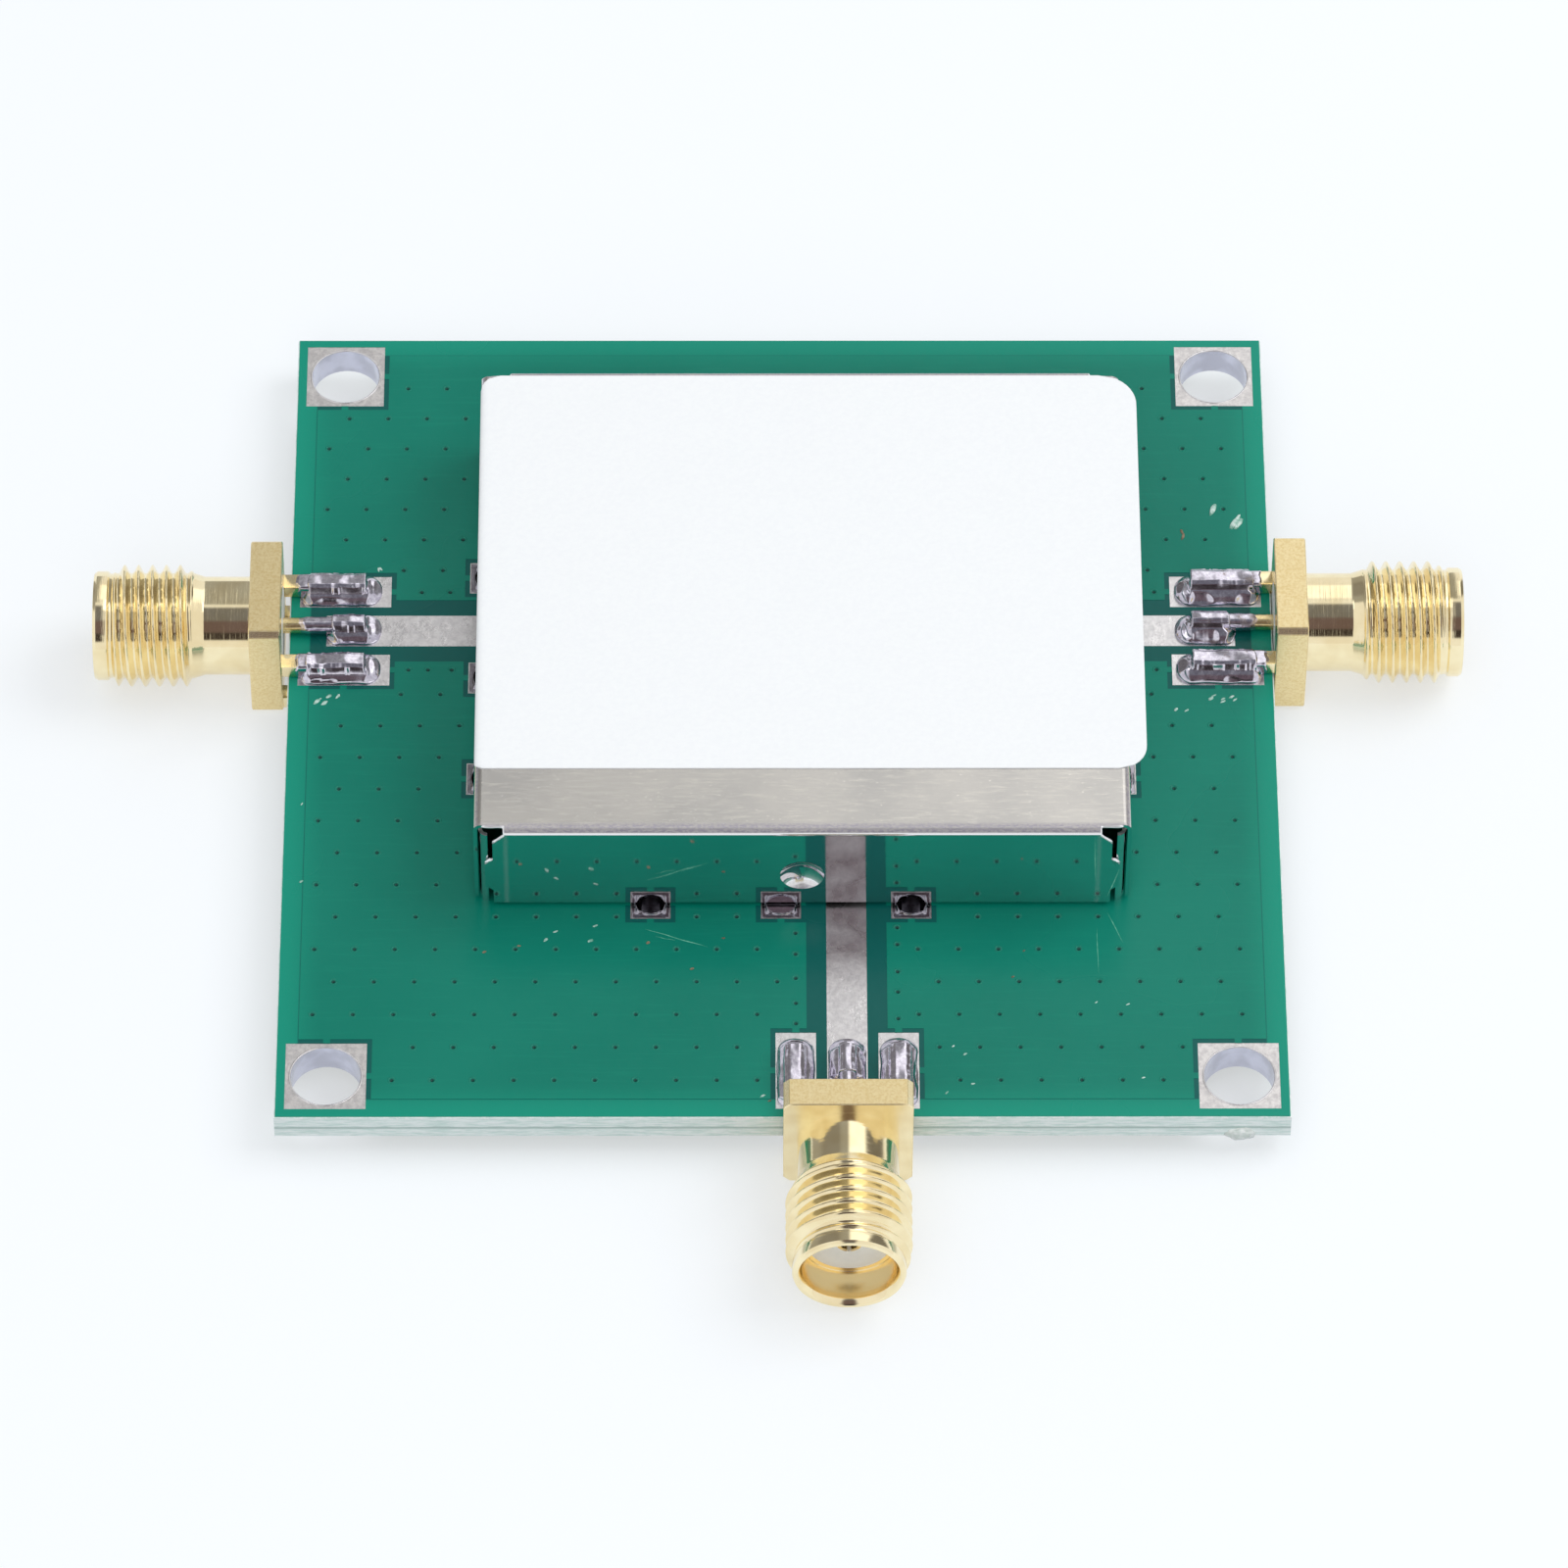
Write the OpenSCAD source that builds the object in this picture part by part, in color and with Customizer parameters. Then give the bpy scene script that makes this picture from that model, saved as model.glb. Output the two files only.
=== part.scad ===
// Frequency mixer on a square circuit board, with a clip-on shield can and three edge-mounted coaxial jacks.
// Millimetres. The origin is the centre of the mounting holes on the board's underside, +Z is up,
// and the single jack at the front points to -Y.

/* [Board] */
// Length of the board along X
board_l = 50; // [47:0.5:60]
// Width of the board along Y
board_w = 50; // [47:0.5:60]
// Thickness of the board over the copper of both sides
board_t = 1.6; // [1.2:0.1:2.4]
// Thickness of the tinned copper
copper_t = 0.05; // [0.03:0.01:0.08]
// Thickness of the green solder mask
mask_t = 0.025; // [0.015:0.005:0.04]
// Width of the border that has no copper
pour_inset = 1.1; // [0.8:0.1:1.2]
// Width of the bare rim beside the mask
mask_inset = 0.06; // [0.04:0.01:0.2]

/* [Mounting holes] */
// Spacing of the mounting holes along X
mount_x = 45; // [43:0.5:45]
// Spacing of the mounting holes along Y
mount_y = 45; // [43:0.5:45]
// Diameter of a plated mounting hole
mount_hole_d = 3.5; // [2.5:0.1:3.6]
// Side of the square pad round a mounting hole
mount_pad = 4; // [3.9:0.1:4.2]
// Thickness of the plating in a hole
plating_t = 0.05; // [0.03:0.01:0.08]

/* [Pads and vias] */
// Ring without copper round each pad
pad_gap = 0.25; // [0.15:0.05:0.3]
// Width of the copper spokes that tie a pad to the ground pour
spoke_w = 0.35; // [0.2:0.05:0.5]
// Diameter of a via hole
via_d = 0.3; // [0.2:0.05:0.4]
// Spacing of the vias in a row
via_pitch_x = 2; // [1.6:0.1:4]
// Spacing of the rows of vias
via_pitch_y = 2.02; // [1.6:0.02:4]
// First via of the front row along X
via_x0 = -23.25; // [-24:0.05:-22]
// Front row of vias along Y
via_y0 = -22.75; // [-24:0.05:-22]
// Distance of the vias along a signal strip from the edge of the bare channel
fence_out = 0.53; // [0.4:0.01:0.8]

/* [Signal strips] */
// Width of a signal strip
strip_w = 2; // [1:0.1:2.4]
// Bare channel on each side of a signal strip
strip_gap = 1; // [0.5:0.1:1.2]
// Place along Y of the left and right ports
side_port_y = 5.6; // [4:0.1:7]
// Place along X of the front port
front_port_x = 3.2; // [1:0.1:5]

/* [Jacks] */
// Gap between the board edge and the flanges of the left and front jacks
edge_gap = 0.3; // [0.1:0.05:0.5]
// Gap between the board edge and the right jack's flange
right_edge_gap = 0.05; // [0.03:0.01:0.5]
// Shift of the right jack towards the back of its pads
right_jack_shift = 0.2; // [-0.2:0.05:0.2]
// Side of the square flange
flange_w = 6.35; // [6:0.05:7]
// Thickness of the flange
flange_t = 1.6; // [1.2:0.1:2.5]
// Chamfer of the flange's four corners
flange_chamfer = 0.3; // [0.2:0.05:0.7]
// Length of the barrel in front of the flange
barrel_l = 7.95; // [7.5:0.05:10]
// Outer diameter of the thread
thread_d = 6.2; // [5.9:0.05:6.35]
// Pitch of the thread
thread_pitch = 0.7056; // [0.6:0.01:0.8]
// Depth of the thread
thread_depth = 0.42; // [0.3:0.01:0.45]
// Length of the threaded stretch
thread_l = 4.1; // [3:0.1:4.5]
// Length of the plain end in front of the thread
lead_in_l = 0.95; // [0.6:0.05:1.2]
// Diameter of the plain neck behind the thread
neck_d = 5; // [4.9:0.05:5.3]
// Length of the cone between neck and thread
neck_cone_l = 0.5; // [0.3:0.05:0.8]
// Diameter of the mouth
mouth_d = 4.6; // [4.4:0.05:4.7]
// Depth of the mouth, down to the insulator's face
mouth_depth = 1.9; // [1.5:0.1:2.2]
// Diameter of the white insulator
insulator_d = 4.1; // [3.8:0.05:4.3]
// Diameter of the contact's socket
socket_d = 1.27; // [1.2:0.01:1.5]
// Diameter of the hole in the socket
socket_hole_d = 0.92; // [0.85:0.01:1]
// Depth of the hole in the socket
socket_hole_depth = 2.6; // [2:0.1:3.5]
// Width of the slots that make the socket springy
socket_slot_w = 0.2; // [0.15:0.01:0.3]
// Length of those slots
socket_slot_l = 2; // [1.5:0.1:2.5]
// Length of the socket's thick part
socket_l = 4; // [3.5:0.1:5]
// Diameter of the pin that lies on the signal strip
pin_d = 0.8; // [0.6:0.05:1]
// Length of the legs and the pin behind the flange
leg_l = 4.1; // [3:0.1:4.5]
// Width of a leg
leg_w = 0.9; // [0.7:0.05:1.1]
// Height of a leg
leg_h = 0.8; // [0.6:0.05:1]
// Distance of a leg from the jack's axis
leg_out = 2.6; // [2.4:0.05:2.7]
// Distance of a ground pad from the jack's axis
jack_pad_out = 2.54; // [2.5:0.01:2.7]
// Width of a jack's ground pad
jack_pad_w = 2; // [1.8:0.1:2]
// Length of a jack's ground pad
jack_pad_l = 4.65; // [4.4:0.05:4.8]
// Distance of the jack's pads from the board edge
jack_pad_inset = 0.5; // [0.3:0.05:0.6]
// Distance of a signal strip's end from the board edge
strip_inset = 1.9; // [1.5:0.1:2.2]

/* [Solder] */
// Solder under a leg or pin
solder_gap = 0.05; // [0.03:0.01:0.1]
// Solder coat over a leg or pin
solder_coat = 0.06; // [0.04:0.01:0.1]
// Bare gold length of a leg next to the flange
bare_leg_l = 0.9; // [0.7:0.1:1.5]
// Margin of bare pad beside the solder
solder_margin = 0.08; // [0.05:0.01:0.15]

/* [Shield] */
// Place of the shield's centre along X
can_x = 1; // [-1:0.1:2]
// Place of the shield's centre along Y
can_y = 2.97; // [1:0.01:4]
// Length of the cover along X
can_l = 32.6; // [30:0.1:34]
// Width of the cover along Y
can_w = 29.8; // [28:0.1:32]
// Height of the cover's top over the board
can_h = 6; // [5:0.1:9]
// Thickness of the shield's sheet
sheet_t = 0.2; // [0.15:0.01:0.25]
// Outer radius of the shield's bends
bend_r = 0.4; // [0.35:0.05:0.6]
// Gap between the board and the cover's walls
cover_gap = 0.25; // [0.15:0.05:0.5]
// Gap between the cover and the frame inside it
frame_gap = 0.05; // [0.03:0.01:0.1]
// Length that a front or back wall's bend stops short of the cover's end
relief_l = 1.55; // [1.2:0.05:2]
// Height of the slanted shoulder at the top of those walls
shoulder_h = 0.6; // [0.4:0.05:1]
// Gap from the cover's end to the wall below the shoulder
upper_step = 0.95; // [0.9:0.05:1.1]
// Gap from the cover's end to the wall's middle part
middle_step = 0.55; // [0.5:0.05:0.7]
// Gap from the cover's end to the wall's notched foot
foot_step = 0.95; // [0.8:0.05:1.1]
// Depth of the middle step below the top
middle_step_z = 2.3; // [2:0.1:2.8]
// Depth of the foot's notch below the top
foot_step_z = 4.4; // [4:0.1:4.6]
// Diameter of the snap dimples
dimple_d = 2.2; // [1.6:0.1:2.6]
// Depth of the snap dimples
dimple_depth = 0.45; // [0.3:0.05:0.5]
// Height of the dimples over the board
dimple_z = 2.45; // [2:0.05:3]
// Width of the frame's inward lip
frame_lip = 1.8; // [1.2:0.1:3]
// Length that the frame's front and back walls stop short of its corners
frame_notch = 1.35; // [1:0.05:2]
// Outer radius of the frame's side walls where they turn round its corners
frame_corner_r = 0.45; // [0.35:0.05:0.6]
// Height of the openings in the frame where the strips pass
strip_door_h = 1; // [0.8:0.1:1.5]
// Width of a frame leg
frame_leg_w = 0.9; // [0.6:0.1:1.1]
// Length of a frame leg below the board
frame_leg_out = 0.5; // [0.3:0.1:0.9]
// Spacing of the frame's legs
frame_leg_pitch = 6.5; // [6:0.1:7]
// Shift of the side legs from the side ports
side_leg_shift = 0.2; // [-0.2:0.05:0.3]
// Side of the square pad round a leg hole
leg_pad = 2; // [1.9:0.1:2.2]
// Diameter of a leg hole
leg_hole_d = 1.5; // [1.3:0.1:1.6]
// Shift of the front and back leg pads outward from the frame's wall
leg_pad_out_y = 0.2; // [0:0.05:0.3]
// Shift of the side leg pads outward from the frame's wall
leg_pad_out_x = -0.1; // [-0.2:0.05:0.2]

/* [Label] */
// Length of the label along X
label_l = 33.45; // [28:0.05:34]
// Width of the label along Y
label_w = 25.45; // [20:0.05:28]
// Thickness of the label
label_t = 0.1; // [0.06:0.01:0.15]
// Radius of the label's corners
label_r = 1.6; // [1:0.1:3]
// Distance of the label from the cover's back edge
label_back = 0.4; // [0:0.05:1]

/* [Mixer chip] */
// Side of the chip's square body
chip_w = 3; // [2.8:0.1:3.2]
// Height of the chip's body
chip_h = 0.85; // [0.7:0.05:1.1]
// Gap under the chip's body
chip_gap = 0.1; // [0.05:0.05:0.15]
// Span over the tips of the leads
lead_span = 4.9; // [4.7:0.1:5.2]
// Spacing of the leads
lead_pitch = 0.65; // [0.6:0.05:0.7]
// Width of a lead
lead_w = 0.3; // [0.22:0.02:0.34]
// Thickness of a lead
lead_t = 0.16; // [0.12:0.01:0.2]
// Length of a lead's flat foot
lead_foot = 0.55; // [0.4:0.05:0.7]
/* [Hidden] */
$fn = 64;

// Colours
laminate_colour = [0.80, 0.84, 0.74];
mask_colour = [0.10, 0.47, 0.37];
tin_colour = [0.80, 0.78, 0.76];
gold_colour = [0.88, 0.74, 0.42];
insulator_colour = [0.96, 0.96, 0.94];
solder_colour = [0.62, 0.61, 0.64];
label_colour = [0.98, 0.98, 1.0];
chip_colour = [0.12, 0.12, 0.13];

// Overshoot of every cutter
cut = 0.5;
// How much lower the mask lies where there is no copper under it
mask_dip = mask_t * 0.6;

// Heights
laminate_t = board_t - 2 * copper_t;
axis_rise = pin_d / 2 + solder_gap;
axis_z = board_t + axis_rise;
top_z = board_t + can_h;

// Inner sizes of the shield
frame_l = can_l - 2 * (sheet_t + frame_gap);
frame_w = can_w - 2 * (sheet_t + frame_gap);
frame_top_z = top_z - sheet_t - frame_gap;
frame_foot_z = board_t + mask_t;
// The pressed dimple is a ball that reaches this far from the ball's centre
dimple_r = (dimple_d * dimple_d / 4 + dimple_depth * dimple_depth) / (2 * dimple_depth);
dimple_out = dimple_r - dimple_depth;
dimple_clearance = 0.08;
snap_hole_r = sqrt(pow(dimple_r + sheet_t, 2) - pow(dimple_out + sheet_t + frame_gap, 2)) + dimple_clearance;
// Height of each slanted step of the cover's walls
step_h = 0.35;
lip_corner_r = 1;

// Chip area, with this number of leads on each side of the chip
leads = 4;
chip_x = front_port_x;
chip_y = side_port_y;
chip_pad_w = lead_w + 0.1;
chip_pad_in = lead_span / 2 - lead_foot - 0.1;
chip_pad_out = lead_span / 2 + 0.25;
chip_opening_margin = 0.1;
strip_stop = lead_span / 2 + 0.9;
strip_front_stop = chip_w / 2 + 0.5;
chip_clear_l = 2 * (strip_stop + 0.3);
chip_clear_w = 2 * (strip_front_stop + 0.6);
paddle_l = 1.7;
paddle_w = 2;
ground_tab_w = 1.2;
toe_l = 0.2;
body_draft = 0.1;
spot_d = 0.5;
spot_depth = 0.05;

// Places of the jacks: point on the flange's rear face, and turn about Z
left_place = [-(board_l / 2 + edge_gap), side_port_y, -90];
right_place = [board_l / 2 + right_edge_gap, side_port_y + right_jack_shift, 90];
front_place = [front_port_x, -(board_w / 2 + edge_gap), 0];

// Rectangles on the board are lists of centre X, centre Y, length and width
channel_w = strip_w + 2 * strip_gap;
side_run_l = board_l / 2 + chip_x;
side_run_r = board_l / 2 - chip_x;
front_run = board_w / 2 + chip_y;
channels = [
    [chip_x - side_run_l / 2, side_port_y, side_run_l, channel_w],
    [chip_x + side_run_r / 2, side_port_y, side_run_r, channel_w],
    [front_port_x, chip_y - front_run / 2, channel_w, front_run],
    [chip_x, chip_y, chip_clear_l, chip_clear_w]];
left_strip_l = side_run_l - strip_stop - strip_inset;
right_strip_l = side_run_r - strip_stop - strip_inset;
front_strip_l = front_run - strip_front_stop - strip_inset;
strips = [
    [chip_x - strip_stop - left_strip_l / 2, side_port_y, left_strip_l, strip_w],
    [chip_x + strip_stop + right_strip_l / 2, side_port_y, right_strip_l, strip_w],
    [front_port_x, chip_y - strip_front_stop - front_strip_l / 2, strip_w, front_strip_l]];
pad_row_x = board_l / 2 - jack_pad_inset - jack_pad_l / 2;
pad_row_y = board_w / 2 - jack_pad_inset - jack_pad_l / 2;
jack_pads = [for (s = [-1, 1]) each [
    [-pad_row_x, side_port_y + s * jack_pad_out, jack_pad_l, jack_pad_w],
    [pad_row_x, side_port_y + s * jack_pad_out, jack_pad_l, jack_pad_w],
    [front_port_x + s * jack_pad_out, -pad_row_y, jack_pad_w, jack_pad_l]]];
mount_places = [for (sx = [-1, 1], sy = [-1, 1]) [sx * mount_x / 2, sy * mount_y / 2]];
mount_pads = [for (p = mount_places) [p[0], p[1], mount_pad, mount_pad]];

// Legs of the frame: centre X, centre Y, 1 for a leg in a side wall, and the sign of its outward direction
leg_steps = [-1.5, -0.5, 0.5];
legs = concat(
    [for (k = leg_steps, s = [-1, 1])
        [front_port_x + k * frame_leg_pitch, can_y + s * (frame_w - sheet_t) / 2, 0, s]],
    [for (k = leg_steps, s = [-1, 1])
        [can_x + s * (frame_l - sheet_t) / 2, side_port_y + side_leg_shift + k * frame_leg_pitch, 1, s]]);
leg_hole_places = [for (g = legs)
    g[2] == 0 ? [g[0], g[1] + g[3] * leg_pad_out_y] : [g[0] + g[3] * leg_pad_out_x, g[1]]];
leg_pads = [for (p = leg_hole_places) [p[0], p[1], leg_pad, leg_pad]];
// The front leg whose hole is filled with solder up to the top
filled_leg = 2;
plug_rise = 0.05;
plug_h = board_t * 0.15;
leg_solder_margin = 0.1;
plated_pads = concat(mount_pads, leg_pads);
ground_pads = concat(jack_pads, plated_pads);

// Vias: a staggered grid over the ground pour, and a row on each side of every strip
function clear_of(x, y, box, margin) =
    abs(x - box[0]) > box[2] / 2 + margin || abs(y - box[1]) > box[3] / 2 + margin;
function clear_of_all(x, y, boxes, margin) = len([for (b = boxes) if (!clear_of(x, y, b, margin)) b]) == 0;
via_pad_margin = via_d / 2 + pad_gap + 0.18;
fence_off = channel_w / 2 + fence_out;
via_strip_margin = fence_out + 0.6;
via_can_margin = 0.3;
via_edge_margin = 0.6;
can_box = [can_x, can_y, can_l, can_w];
last_via_x = board_l / 2 - pour_inset - via_edge_margin;
last_via_y = board_w / 2 - pour_inset - via_edge_margin;
grid_columns = floor((last_via_x - via_x0) / via_pitch_x);
grid_rows = floor((last_via_y - via_y0) / via_pitch_y);
grid_vias = [for (row = [0:grid_rows], column = [-1:grid_columns])
    let (x = via_x0 + (column + (row % 2) / 2) * via_pitch_x, y = via_y0 + row * via_pitch_y)
    if (abs(x) <= last_via_x && abs(y) <= last_via_y && clear_of(x, y, can_box, via_can_margin)
        && clear_of_all(x, y, channels, via_strip_margin) && clear_of_all(x, y, ground_pads, via_pad_margin))
    [x, y]];
// The vias along each strip, as distances from the cover's wall: left and right of the front strip, back and
// front of the left strip, and on both sides of the right strip
front_fences = [[1.75, 3.05, 4.55, 6.1, 7.35], [1.4, 2.45, 4.15, 5.4, 7.05]];
left_fences = [[1.4, 2.6, 3.6], [1.55, 3]];
right_fence = [1.75];
fence_vias = [for (side = [0, 1]) let (s = 2 * side - 1) each concat(
    [for (d = front_fences[side]) [front_port_x + s * fence_off, can_y - can_w / 2 - d]],
    [for (d = left_fences[side]) [can_x - can_l / 2 - d, side_port_y + s * fence_off]],
    [for (d = right_fence) [can_x + can_l / 2 + d, side_port_y + s * fence_off]])];
paddle_vias = [for (sx = [-1, 1], sy = [-1, 1]) [chip_x + sx * paddle_l / 4, chip_y + sy * paddle_w / 4]];
vias = concat(grid_vias, fence_vias, paddle_vias);

// Flat shapes on the board
module boxes(list, grow = 0)
    for (b = list) translate([b[0], b[1]]) square([b[2] + 2 * grow, b[3] + 2 * grow], center = true);

module board_outline(inset = 0) square([board_l - 2 * inset, board_w - 2 * inset], center = true);

module spokes(list)
    for (b = list) translate([b[0], b[1]]) {
        square([b[2] + 4 * pad_gap, spoke_w], center = true);
        square([spoke_w, b[3] + 4 * pad_gap], center = true);
    }

module via_holes() for (v = vias) translate(v) circle(d = via_d);

module plated_holes(grow) {
    for (p = mount_places) translate(p) circle(d = mount_hole_d + 2 * grow);
    for (p = leg_hole_places) translate(p) circle(d = leg_hole_d + 2 * grow);
}

// Ground copper of one side without its plated pads, with the channels bare when has_strips is true
module ground_copper(has_strips) {
    difference() {
        board_outline(pour_inset);
        if (has_strips) boxes(channels);
        difference() {
            boxes(ground_pads, pad_gap);
            spokes(ground_pads);
        }
        boxes(plated_pads);
    }
    boxes(jack_pads);
}

function lead_y(i) = (i - (leads - 1) / 2) * lead_pitch;

// Which leads carry a signal: left side third and first, right side third
function is_signal(side, i) = i == leads - 2 || (side < 0 && i == 0);

module chip_copper() translate([chip_x, chip_y]) {
    square([paddle_l, paddle_w], center = true);
    translate([-ground_tab_w / 2, 0]) square([ground_tab_w, chip_clear_w / 2 + cut]);
    for (side = [-1, 1], i = [0:leads - 1]) {
        pad_start = is_signal(side, i) ? chip_pad_in : 0;
        translate([side > 0 ? pad_start : -chip_pad_out, lead_y(i) - chip_pad_w / 2])
            square([chip_pad_out - pad_start, chip_pad_w]);
    }
    for (side = [-1, 1])
        translate([side > 0 ? chip_pad_in : -strip_stop - cut, lead_y(leads - 2) - chip_pad_w / 2])
            square([strip_stop + cut - chip_pad_in, chip_pad_w]);
    translate([-chip_pad_out, -strip_front_stop - chip_pad_w]) square([chip_pad_out, chip_pad_w]);
    translate([-chip_pad_out, -strip_front_stop - chip_pad_w])
        square([chip_pad_w, strip_front_stop + chip_pad_w + lead_y(0)]);
    translate([-chip_pad_w, -strip_front_stop - 2 * chip_pad_w]) square([2 * chip_pad_w, 2 * chip_pad_w]);
}

module top_copper_flat() {
    ground_copper(true);
    boxes(strips);
    chip_copper();
}

module chip_opening() translate([chip_x, chip_y])
    square([2 * (chip_pad_out + chip_opening_margin), 2 * (lead_y(leads - 1) + chip_pad_w)], center = true);

// Board pieces
module laminate() color(laminate_colour) translate([0, 0, copper_t]) linear_extrude(laminate_t)
    difference() {
        board_outline();
        via_holes();
        plated_holes(plating_t);
    }

module top_copper() color(tin_colour) translate([0, 0, board_t - copper_t]) linear_extrude(copper_t)
    difference() {
        top_copper_flat();
        via_holes();
    }

module bottom_copper() color(tin_colour) linear_extrude(copper_t)
    difference() {
        ground_copper(false);
        via_holes();
    }

module top_solder_mask() color(mask_colour) translate([0, 0, board_t - copper_t])
    difference() {
        linear_extrude(copper_t + mask_t) difference() {
            board_outline(mask_inset);
            boxes(ground_pads);
            boxes(strips);
            chip_opening();
            via_holes();
        }
        translate([0, 0, -cut]) linear_extrude(copper_t + cut) top_copper_flat();
        translate([0, 0, copper_t + mask_t - mask_dip]) linear_extrude(cut) difference() {
            board_outline();
            top_copper_flat();
        }
    }

module bottom_solder_mask() color(mask_colour)
    difference() {
        translate([0, 0, -mask_t]) linear_extrude(copper_t + mask_t) difference() {
            board_outline(mask_inset);
            boxes(ground_pads);
            via_holes();
        }
        linear_extrude(copper_t + cut) ground_copper(false);
        translate([0, 0, -mask_t - cut]) linear_extrude(cut + mask_dip) difference() {
            board_outline();
            ground_copper(false);
        }
    }

// Lining of each hole, in one piece with its pads on both sides of the board
module plating(places, d, pad) color(tin_colour)
    for (p = places) translate(p) difference() {
        union() {
            cylinder(d = d + 2 * plating_t, h = board_t);
            for (z = [0, board_t - copper_t]) translate([-pad / 2, -pad / 2, z]) cube([pad, pad, copper_t]);
        }
        translate([0, 0, -cut]) cylinder(d = d, h = board_t + 2 * cut);
    }

module mounting_hole_plating() plating(mount_places, mount_hole_d, mount_pad);

module leg_hole_plating() plating(leg_hole_places, leg_hole_d, leg_pad);

// Sheet metal: the outer face of a wall lies in the plane y = 0 and its bend ends at z = 0
module bend(run)
    translate([-run / 2, bend_r, -bend_r]) rotate([90, 0, 90]) linear_extrude(run) intersection() {
        difference() {
            circle(bend_r);
            circle(bend_r - sheet_t);
        }
        translate([-bend_r, 0]) square(bend_r);
    }

module wall_sheet() translate([0, sheet_t, 0]) rotate([90, 0, 0]) linear_extrude(sheet_t) children();

// Wall of the cover with a straight outline
module straight_wall(run, h) {
    bend(run);
    wall_sheet() translate([-run / 2, -h]) square([run, h - bend_r]);
}

// Wall of the cover that widens in steps below its bend and is notched at its foot
module stepped_wall(h) {
    half = can_l / 2;
    edge = [
        [half - relief_l, -bend_r],
        [half - upper_step, -bend_r - shoulder_h],
        [half - upper_step, -middle_step_z],
        [half - middle_step, -middle_step_z - step_h],
        [half - middle_step, -foot_step_z],
        [half - foot_step, -foot_step_z - step_h],
        [half - foot_step, -h]];
    mirrored = [for (i = [len(edge) - 1:-1:0]) [-edge[i][0], edge[i][1]]];
    bend(2 * (half - relief_l));
    wall_sheet() polygon(concat(edge, mirrored));
}

// Inward bulge and dent of a snap dimple, at its height on a wall
module dimple_bulge() translate([0, -dimple_out, dimple_z - can_h]) intersection() {
    sphere(dimple_r + sheet_t);
    translate([-dimple_d, dimple_out, -dimple_d])
        cube([2 * dimple_d, dimple_r + sheet_t, 2 * dimple_d]);
}

module dimple_dent() translate([0, -dimple_out, dimple_z - can_h]) sphere(dimple_r);

// The four sides of the shield: turn about Z and distance of the wall's outer face
module on_side(turn, l, w) rotate([0, 0, turn]) translate([0, -(turn % 180 == 0 ? w : l) / 2, 0]) children();

module shield_cover() color(tin_colour) translate([can_x, can_y, top_z]) {
    h = can_h - cover_gap;
    difference() {
        union() {
            translate([bend_r - can_l / 2, bend_r - can_w / 2, -sheet_t])
                cube([can_l - 2 * bend_r, can_w - 2 * bend_r, sheet_t]);
            for (turn = [0, 180]) on_side(turn, can_l, can_w) stepped_wall(h);
            for (turn = [90, 270]) on_side(turn, can_l, can_w) straight_wall(can_w - 2 * bend_r, h);
            for (turn = [0:90:270]) on_side(turn, can_l, can_w) dimple_bulge();
        }
        for (turn = [0:90:270]) on_side(turn, can_l, can_w) dimple_dent();
    }
}

// Rectangle with round corners, made of two bars and four discs
module round_box(l, w, r) {
    square([l, w - 2 * r], center = true);
    square([l - 2 * r, w], center = true);
    for (sx = [-1, 1], sy = [-1, 1]) translate([sx * (l / 2 - r), sy * (w / 2 - r)]) circle(r);
}

// One leg of the frame, with a tapered tip, from above the board to below it
module frame_leg(g) {
    tip = frame_leg_out * 0.6;
    root = frame_foot_z + sheet_t;
    half = frame_leg_w / 2;
    translate([g[0], g[1], 0]) rotate([0, 0, 90 * g[2]]) translate([0, -sheet_t / 2, 0]) wall_sheet() polygon([
        [-half, root], [-half, tip - frame_leg_out], [tip - half, -frame_leg_out],
        [half - tip, -frame_leg_out], [half, tip - frame_leg_out], [half, root]]);
}

// Curled end of a side wall at one corner of the frame
module corner_return(turn, h) {
    across = turn % 180 == 0 ? [frame_l, frame_w] : [frame_w, frame_l];
    rotate([0, 0, turn]) translate([across[0] / 2 - frame_corner_r, across[1] / 2 - frame_corner_r, -h])
        linear_extrude(h - bend_r) intersection() {
            difference() {
                circle(frame_corner_r);
                circle(frame_corner_r - sheet_t);
            }
            square(frame_corner_r);
        }
}

module strip_doors() {
    h = strip_door_h;
    translate([can_x - can_l / 2 - cut, side_port_y - channel_w / 2, board_t])
        cube([can_l + 2 * cut, channel_w, h]);
    translate([front_port_x - channel_w / 2, can_y - can_w / 2 - cut, board_t])
        cube([channel_w, can_w / 2, h]);
}

module shield_frame() color(tin_colour) {
    h = frame_top_z - frame_foot_z;
    difference() {
        translate([can_x, can_y, frame_top_z]) {
            translate([0, 0, -sheet_t]) linear_extrude(sheet_t) difference() {
                square([frame_l - 2 * bend_r, frame_w - 2 * bend_r], center = true);
                round_box(frame_l - 2 * frame_lip, frame_w - 2 * frame_lip, lip_corner_r);
            }
            for (turn = [0, 180])
                on_side(turn, frame_l, frame_w) straight_wall(frame_l - 2 * frame_notch, h);
            for (turn = [90, 270])
                on_side(turn, frame_l, frame_w) straight_wall(frame_w - 2 * frame_corner_r, h);
            for (turn = [0:90:270]) corner_return(turn, h);
        }
        strip_doors();
        for (turn = [0:90:270]) translate([can_x, can_y, top_z]) on_side(turn, can_l, can_w)
            translate([0, -cut, dimple_z - can_h]) rotate([-90, 0, 0]) cylinder(r = snap_hole_r, h = 2 * cut);
    }
    for (g = legs) frame_leg(g);
}

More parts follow.
